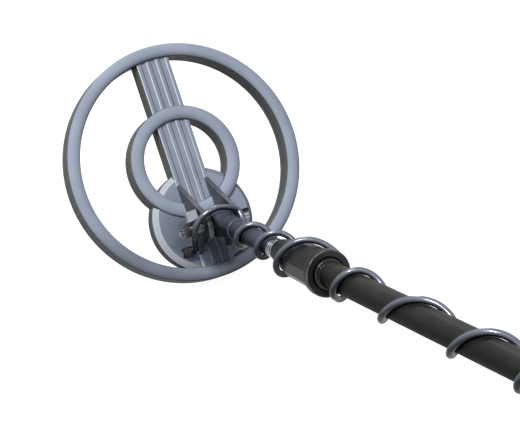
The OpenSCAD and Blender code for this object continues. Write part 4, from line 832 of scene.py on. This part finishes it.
def through(p, steps):
    """A smooth curve through the points after the first and before the last."""
    a, b, c, d = p[:-3, None], p[1:-2, None], p[2:-1, None], p[3:, None]
    t = np.linspace(0, 1, steps, endpoint=False)[None, :, None]
    q = 0.5 * (2 * b + (c - a) * t + (2 * a - 5 * b + 4 * c - d) * t**2
               + (3 * b - a - 3 * c + d) * t**3)
    return q.reshape(-1, 3)


def hose_grid(path, radius, sides=20):
    """A round tube along the path: each ring stands square to it, and none twists on the last."""
    way = np.gradient(path, axis=0)
    way /= np.linalg.norm(way, axis=1)[:, None]
    side, sides_at = np.array([0.3, 0.2, 1.0]), []
    for w in way:
        side = side - w * (side @ w)
        side = side / np.linalg.norm(side)
        sides_at.append(side)
    across = np.array(sides_at)
    over = np.cross(way, across)
    angle = np.linspace(0, TAU, sides, endpoint=False)
    rim = (across[:, None] * np.cos(angle)[None, :, None]
           + over[:, None] * np.sin(angle)[None, :, None])
    return path[:, None] + radius * rim


def lead_paths():
    """The three stretches of the lead: over the hinge, on the stem, and on up to its plug."""
    hinge_route = np.vstack([on_head(OVER_HINGE),
                             wound([0.53, 0.58, 0.64, 0.7, STEM_TURN, STEM_TURN + 0.05])])
    hinge = np.vstack([through(hinge_route, 12), wound(STEM_TURN)])
    stem = wound(np.linspace(STEM_TURN, SHAFT_TURN, 260))
    top = turned(POD_TURN, POD_AT, np.array([[0, 40, z] for z in (-32.0, -22.0, -12.0)]))
    route = np.vstack([wound([LAST_TURN - 0.05, LAST_TURN]),
                       on_shaft(0.0, RISE[:, 0], RISE[:, 1]), top])
    shaft = np.vstack([wound(np.linspace(SHAFT_TURN, LAST_TURN, 640, endpoint=False)),
                       through(route, 12), top[1:2]])
    return hinge, stem, shaft


def arm_pad_grid(inner=46.9, thick=4.4, half_long=45.0):
    """The cup's pad: a crowned sheet on the cup's floor, drawn in along three sewn channels."""
    v = np.sin(np.linspace(-math.pi / 2, math.pi / 2, 61))[:, None]
    t = np.linspace(-1, 1, 97)[None, :]
    reach = math.radians(80) * (1 - 0.05 * np.abs(v) ** 10)
    angle = -math.pi / 2 + reach * np.sin(t * math.pi / 2)
    crown = np.clip(1 - np.abs(v) ** 14, 0, 1) ** 0.5 * np.clip(1 - np.abs(t) ** 18, 0, 1) ** 0.5
    sewn = sum(np.exp(-((angle + math.pi / 2 - a) / 0.045) ** 2) for a in (-0.75, 0.0, 0.75))
    hem = np.exp(-((np.abs(v) - 0.93) / 0.018) ** 2)
    deep = thick * crown * (1 - 0.55 * sewn) * (1 - 0.35 * hem)
    puff = 0.25 * np.sin(angle * 9) * np.sin(v * 7)
    outer = np.stack(np.broadcast_arrays(inner * np.cos(angle), half_long * v,
                                         inner * np.sin(angle)), -1)
    r = inner - deep - puff * crown * 0.6
    top = np.stack(np.broadcast_arrays(r * np.cos(angle), half_long * v, r * np.sin(angle)), -1)
    loop = np.concatenate([outer, top[:, ::-1]], 1)
    arc = np.broadcast_to(angle * inner * MM, outer.shape[:2])
    long = np.broadcast_to(v * half_long * MM, outer.shape[:2])
    flat = np.stack([arc, long], -1)
    return on_shaft(loop[..., 0], CUP_BEHIND - loop[..., 1], CUP_UP + loop[..., 2]), \
        np.concatenate([flat, flat[:, ::-1]], 1)


def ribbon_grid(path, wide, thick, behind):
    """A flat strap carried along a path across the shaft: a slim box with eased corners."""
    way = np.gradient(path, axis=0)
    way /= np.linalg.norm(way, axis=1)[:, None]
    out = np.stack([way[:, 1], -way[:, 0]], -1)
    section = eased([[-wide / 2, -thick / 2], [wide / 2, -thick / 2], [wide / 2, thick / 2],
                     [-wide / 2, thick / 2]], [thick * 0.45] * 4, 4)
    section = filled(section, 2.0)
    x = path[:, None, 0] + out[:, None, 0] * section[None, :, 1]
    z = path[:, None, 1] + out[:, None, 1] * section[None, :, 1]
    run = np.concatenate([[0], np.cumsum(np.linalg.norm(np.diff(path, axis=0), axis=1))])
    across = np.broadcast_to(section[None, :, 0], x.shape)
    uv = np.stack([np.broadcast_to(run[:, None], x.shape), across], -1) * MM
    return on_shaft(x, behind + across, CUP_UP + z), uv


def arc_points(radius, start, end, steps):
    """Points across the cup, x = r cos a and z = r sin a, between two angles in degrees."""
    angle = np.linspace(math.radians(start), math.radians(end), steps)
    return radius * np.stack([np.cos(angle), np.sin(angle)], -1)


def strap_path():
    """Out of one slot in the cup, round over the arm, and into the other slot."""
    arc = arc_points(STRAP_R, 4, 176, 90)
    right = np.array([[44.5, -4.4], [45.6, -4.4], [49.2, -4.3], [51.6, -1.6]])
    ends = np.vstack([right, arc, right[::-1] * [-1, 1]])
    return np.vstack([through(np.hstack([ends, 0 * ends[:, :1]]), 3)[:, :2], ends[-2:-1]])


def foam_grid():
    """The grip's foam sleeve: a rounded oblong with faint finger waves and eased rims."""
    turn = np.linspace(0, TAU, 120, endpoint=False)[:, None]
    stretch = 5 * np.clip(np.sin(turn) * 6, -1, 1)
    front = np.clip(np.sin(turn), 0, 1) ** 3
    low, high, core, skin = 6.0, 76.0, 12.15, 17.0
    notch = np.clip((8.6 - np.abs(skin * np.cos(turn))) / 1.8, 0, 1) * (np.sin(turn) > 0)
    high = high - 10.9 * notch * notch * (3 - 2 * notch)
    t = np.linspace(0, 1, 40)[None, :]
    corner = np.linspace(0, math.pi / 2, 7)[None, :]
    ease = 2.2
    body = low + ease + (high - low - 2 * ease) * t
    rows = [
        (skin - ease + ease * np.sin(corner), low + ease - ease * np.cos(corner)),
        (np.full_like(t, skin), body),
        (skin - ease + ease * np.cos(corner), high - ease + ease * np.sin(corner)),
        (np.full_like(t, core), body[:, ::-1])]
    reach, up = (np.concatenate([np.broadcast_to(row[k], (len(turn), row[k].shape[1]))
                                 for row in rows], 1) for k in (0, 1))
    wave = 0.55 * (1 + np.cos(TAU * (up - 14) / 21)) * front * (reach > core + 1)
    reach = reach - wave
    p = np.stack([reach * np.cos(turn), stretch + reach * np.sin(turn), up], -1)
    return turned(GRIP_TURN, GRIP_AT, p)


def foot_grid(x, behind):
    """A rubber foot: an eased button with three rings pressed into its sole."""
    corners = [[0, 0], [2, 0], [2.6, 0.5], [3.2, 0], [5, 0], [5.6, 0.5], [6.2, 0], [8, 0],
               [10.25, 1.2], [10.25, 5.0], [0, 5.0]]
    outline = eased(corners, [0, 0.1, 0.1, 0.1, 0.1, 0.1, 0.1, 0.6, 0.8, 0.2, 0], 4)
    p = spun(outline, 64)
    base = on_shaft(x, behind, -PIN[2])
    return base + p * MM


def bar_grid(centre, half):
    """A slim inlaid bar: |x/a|^6 + |y/b|^6 = 1 drawn up its height, with eased ends."""
    angle = np.linspace(0, TAU, 48, endpoint=False)[None, :]
    x, y = rounded_section(angle, half[0], half[1], 6.0)
    z = np.array([-half[2], half[2] * 0.7, half[2]])[:, None]
    shrink = np.array([1.0, 1.0, 0.9])[:, None]
    p = np.stack([x * shrink, y * shrink, np.broadcast_to(z, (3, 48))], -1) + np.array(centre)
    return turned(POD_TURN, POD_AT, p)


class DETECTOR_OT_finishes(Operator):
    """Makes every finish and puts it on the frame's own nodes"""

    bl_idname = "detector.finishes"
    bl_label = "Finishes"

    def execute(self, context):
        c = context.scene.detector_finishes
        ring_paint("head_plastic", tuple(c.head), tuple(c.head_side))
        deck_paint("deck", tuple(c.deck), tuple(c.head_side))
        moulded("head_cover", (0.10, 0.105, 0.115))
        windings("copper_winding", (0.55, 0.22, 0.08))
        cheek_gloss("dark_gloss", (0.030, 0.032, 0.038), (0.190, 0.200, 0.230))
        metal("bolt_metal", (0.40, 0.41, 0.43), rough=0.30)
        metal("dark_metal", (0.095, 0.097, 0.104), rough=0.30)
        metal("rod_metal", (0.56, 0.57, 0.60), rough=0.30, lay=(60, 1, 60))
        thread_metal("bright_metal", crest=(0.42, 0.43, 0.46), root=(0.030, 0.032, 0.040))
        moulded("stem_grey", tuple(c.stem), rough=0.34, grain=1100, depth=0.00004, below=0.5,
                **SATIN)
        moulded("tube_black", tuple(c.tube), rough=0.40, grain=1600, depth=0.00007,
                worn=(0.16, 0.16, 0.15), below=0.45, **SATIN)
        moulded("black_plastic", (0.026, 0.026, 0.027), rough=0.42, grain=1300, edge=0.0008,
                worn=(0.12, 0.12, 0.117), **SATIN)
        collar_gloss("collar_black", (0.029, 0.029, 0.0285), worn=(0.24, 0.24, 0.235))
        moulded("lip_rubber", (0.007, 0.008, 0.011), rough=0.14, grain=400, depth=0.00003,
                edge=0.0010, worn=(0.24, 0.24, 0.26), Specular_IOR_Level=0.5)
        moulded("soft_rubber", (0.008, 0.008, 0.009), rough=0.55, grain=400, depth=0.00005,
                edge=0.0005)
        sheath("lead_sheath", tuple(c.lead))
        moulded("lever_grey", (0.27, 0.31, 0.38), rough=0.45, edge=0.0009)
        lever_paint("lever_two_tone", block=(0.42, 0.45, 0.50), neck=(0.020, 0.021, 0.024))
        moulded("white_nylon", (0.66, 0.66, 0.60), rough=0.45)
        circuit("circuit_green", (0.012, 0.10, 0.035))
        clear("clear_window", (0.86, 0.90, 0.88))
        display("display_grey", ground=(0.30, 0.35, 0.26), mark=(0.015, 0.02, 0.02))
        moulded("button_grey", (0.15, 0.155, 0.16), rough=0.6, grain=800, depth=0.00005,
                edge=0.0010)
        moulded("trigger_red", (0.23, 0.012, 0.008), rough=0.35, depth=0.00004, edge=0.0012)
        foam("grip_foam", (0.016, 0.016, 0.017))
        woven("pad_fabric", (0.016, 0.016, 0.019))
        moulded("cell_wrap", (0.03, 0.05, 0.16), rough=0.3, grain=300, depth=0.00003)
        for entry in frame["record"]["subparts"]:
            node = NODES[entry["node"]]
            finish = FINISHES[entry["material_slot"]]
            for spot in node.material_slots:
                spot.material = finish
            if not node.material_slots:
                node.data.materials.append(finish)
        return {"FINISHED"}


class DETECTOR_OT_head(Operator):
    """Rings and spoke of the search head"""

    bl_idname = "detector.head"
    bl_label = "Search head"

    def execute(self, context):
        s = context.scene.detector_head
        depth = s.depth / MM
        for name, r, w in (("outer_ring", s.big_r, s.big_w), ("inner_ring", s.small_r, s.small_w)):
            surface(name + "_moulding", on_head(ring_grid(r / MM, w / MM, depth)), "head",
                    "head_plastic", (name,), True, True)
        surface("spoke_front_moulding", on_head(spoke_grid(s)), "head", "deck",
                ("spoke_front",), loop_v=True, cap=True)
        return {"FINISHED"}


class DETECTOR_OT_stem(Operator):
    """Tongue, threaded ferrule and lock collar"""

    bl_idname = "detector.stem"
    bl_label = "Stem and lock"

    def execute(self, context):
        s = context.scene.detector_shaft
        surface("tongue_moulding", tongue_grid(s), "stem", "stem_grey",
                ("hinge_tongue",), loop_v=True, cap=True)
        surface("ferrule_thread", ferrule_grid(s), "stem", "bright_metal",
                ("ferrule",), loop_v=True, cap=True, soft=50)
        surface("collar_moulding", collar_grid(), "collar", "collar_black",
                ("lock_collar",), True, True, soft=28)
        return {"FINISHED"}


class DETECTOR_OT_lead(Operator):
    """The lead, from its gland over the hinge and round the shaft to its plug"""

    bl_idname = "detector.lead"
    bl_label = "Lead"

    def execute(self, context):
        r = context.scene.detector_shaft.lead_r
        hinge, stem, shaft = lead_paths()
        bends = ("stem", "head", tuple(wound(0.7)[0]), tuple(hinge[0]))
        slides = ("stem", "shaft", tuple(on_shaft(0.0, 44.0, 0.0)),
                  tuple(on_shaft(0.0, 170.0, 0.0)))
        surface("lead_hinge_tube", hose_grid(hinge, r), bends, "lead_sheath",
                ("lead_at_hinge",), loop_v=True, cap=True)
        surface("lead_stem_tube", hose_grid(stem, r), slides, "lead_sheath",
                ("lead_on_stem",), loop_v=True, cap=True)
        surface("lead_shaft_tube", hose_grid(shaft, r), "shaft", "lead_sheath",
                ("lead_on_shaft",), loop_v=True, cap=True)
        return {"FINISHED"}


class DETECTOR_OT_edges(Operator):
    """Rounded edges on the frame's own mouldings and turned pieces"""

    bl_idname = "detector.edges"
    bl_label = "Soft edges"

    def execute(self, context):
        widths = {
            0.9: ("disc_housing", "disc_front", "left_cheek", "right_cheek", "clamp_lever",
                  "handle_clamp", "trigger", "lead_clip", "push_buttons_a", "push_buttons_b",
                  "push_buttons_c", "lead_plug"),
            1.6: ("unit_base", "unit_cover", "battery_box", "battery_door", "arm_cup"),
            0.5: ("lead_gland", "left_knob", "right_knob", "cup_thumb_screw", "wiper_ring",
                  "friction_washers", "pin_spacer", "hinge_bolt", "bolt_washer", "lever_nut",
                  "clamp_screws")}
        other = {
            "disc_housing": "deck", "disc_front": "deck", "clamp_lever": "lever_two_tone",
            "pin_spacer": "dark_metal", "bolt_washer": "dark_metal", "lever_nut": "dark_metal",
            "hinge_bolt": "dark_metal", "lead_gland": "black_plastic", "wiper_ring": "lip_rubber"}
        for width, names in widths.items():
            for name in names:
                soft_edged(name, width, other.get(name))
        return {"FINISHED"}


class DETECTOR_OT_soft_parts(Operator):
    """Arm pad, strap and the grip's foam"""

    bl_idname = "detector.soft_parts"
    bl_label = "Soft parts"

    def execute(self, context):
        grid, uv = arm_pad_grid()
        pad = surface("arm_pad", grid, "cup", "pad_fabric", ("arm_pad_and_strap",),
                      loop_v=True, cap=True, uv=uv, soft=60)
        grid, uv = ribbon_grid(strap_path(), 38.0, STRAP_THICK, CUP_BEHIND)
        surface("arm_strap", grid, "cup", "pad_fabric", loop_v=True, cap=True, uv=uv)
        patch = arc_points(STRAP_R + (STRAP_THICK + PATCH_THICK) / 2 + 0.05, 52, 118, 40)
        grid, uv = ribbon_grid(patch, 35.0, PATCH_THICK, CUP_BEHIND)
        surface("strap_fastener", grid, "cup", "pad_fabric", loop_v=True, cap=True,
                uv=uv)
        for side, x in (("left", -54.0), ("right", 54.0)):
            surface("rubber_foot_" + side, foot_grid(x, 1143.0), "shaft",
                    "soft_rubber", loop_u=True)
        for body, x in (("knob_l", -30.0), ("knob_r", 30.0)):
            surface("pointer_" + body, bar_grid((x, -33.6, 48.9), (0.5, 2.9, 0.25)), body,
                    "white_nylon", loop_v=True, cap=True)
        sleeve = surface("foam_sleeve", foam_grid(), "shaft", "grip_foam",
                         ("grip_foam",), True, True, soft=50)
        return {"FINISHED"}


# The lamps' names, places in metres, watts and widths, and the point that they all face.
LAMPS = (("key", (-1.30, -0.85, 2.15), 62.0, 0.5), ("front", (-0.1, -1.8, 1.4), 16.0, 0.45),
         ("rear", (0.5, 1.6, 1.9), 12.0, 0.5))
LAMPS_AIM = np.array([0.0, 0.35, 0.1])


class DETECTOR_OT_stage(Operator):
    """Pale floor, lamps, surroundings and the camera"""

    bl_idname = "detector.stage"
    bl_label = "Studio"

    def execute(self, context):
        scene = context.scene
        ground = bpy.data.meshes.new("floor")
        corners = [(-40, -40, 0), (40, -40, 0), (40, 40, 0), (-40, 40, 0)]
        ground.from_pydata(corners, [], [(0, 1, 2, 3)])
        floor = bpy.data.objects.new("floor", ground)
        scene.collection.objects.link(floor)
        colour = tuple(scene.detector_finishes.floor)
        f = Finish("floor_white")
        pale = f.put("Emission", {}, {"Color": colour, "Strength": 0.94})
        shade = f.put("BsdfDiffuse", {}, {"Color": (0.42, 0.42, 0.42)})
        lit = f.put("AddShader", {}, {0: pale, 1: shade})
        dull = f.put("BsdfDiffuse", {}, {"Color": (0.12, 0.12, 0.125)})
        show = f.put("MixShader", {}, {0: seen_rays(f), 1: dull, 2: lit})
        f.show(show)
        ground.materials.append(f.material)

        world = bpy.data.worlds.new("studio")
        scene.world = world
        world.use_nodes = True
        w = Graph(world.node_tree, "ShaderNodeOutputWorld")
        felt = w.put("Background", {}, {0: (0.94, 0.97, 1.0), 1: 0.15})
        seen = w.put("Background", {}, {0: (1.0, 1.0, 1.0), 1: 1.0})
        w.show(w.put("MixShader", {}, {0: seen_rays(w), 1: felt, 2: seen}))

        for name, at, watts, wide in LAMPS:
            data = bpy.data.lights.new(name, "AREA")
            data.energy, data.size, data.color = watts, wide, (0.96, 0.98, 1.0)
            lamp = bpy.data.objects.new(name, data)
            scene.collection.objects.link(lamp)
            lamp.location = at
            aim = LAMPS_AIM - np.array(at)
            lamp.rotation_euler = (math.atan2(math.hypot(aim[0], aim[1]), -aim[2]), 0,
                                   math.atan2(aim[1], aim[0]) - math.pi / 2)

        lens = bpy.data.cameras.new("photo")
        lens.sensor_width, lens.lens = 36.0, 116.38
        lens.clip_end = 200.0
        camera = bpy.data.objects.new("photo", lens)
        scene.collection.objects.link(camera)
        camera.location = (-0.60713, -1.20801, 0.60279)
        camera.rotation_euler = Euler([math.radians(a) for a in (73.519, 11.378, -24.122)], "XYZ")
        scene.camera = camera
        scene.view_settings.view_transform = "Standard"
        return {"FINISHED"}


class DETECTOR_PT_panel(Panel):
    """Sizes, finishes and the steps that build the detector"""

    bl_idname = "DETECTOR_PT_panel"
    bl_label = "Metal detector"
    bl_space_type = "VIEW_3D"
    bl_region_type = "UI"
    bl_category = "Detector"

    def draw(self, context):
        for group in (context.scene.detector_head, context.scene.detector_shaft,
                      context.scene.detector_finishes):
            box = self.layout.box()
            for name in group.bl_rna.properties.keys():
                if name not in ("rna_type", "name"):
                    box.prop(group, name)
        for step in STEPS:
            self.layout.operator(step.bl_idname)


GROUPS = (("detector_head", HeadSizes), ("detector_shaft", ShaftSizes),
          ("detector_finishes", Finishes))
STEPS = (DETECTOR_OT_finishes, DETECTOR_OT_head, DETECTOR_OT_stem, DETECTOR_OT_lead,
         DETECTOR_OT_edges, DETECTOR_OT_soft_parts, DETECTOR_OT_stage)


def register():
    for name, group in GROUPS:
        bpy.utils.register_class(group)
        setattr(bpy.types.Scene, name, PointerProperty(type=group))
    for cls in (*STEPS, DETECTOR_PT_panel):
        bpy.utils.register_class(cls)


def unregister():
    for cls in (DETECTOR_PT_panel, *reversed(STEPS)):
        bpy.utils.unregister_class(cls)
    for name, group in reversed(GROUPS):
        delattr(bpy.types.Scene, name)
        bpy.utils.unregister_class(group)


def main():
    register()
    for step in STEPS:
        area, name = step.bl_idname.split(".")
        getattr(getattr(bpy.ops, area), name)()


if __name__ == "__main__":
    main()
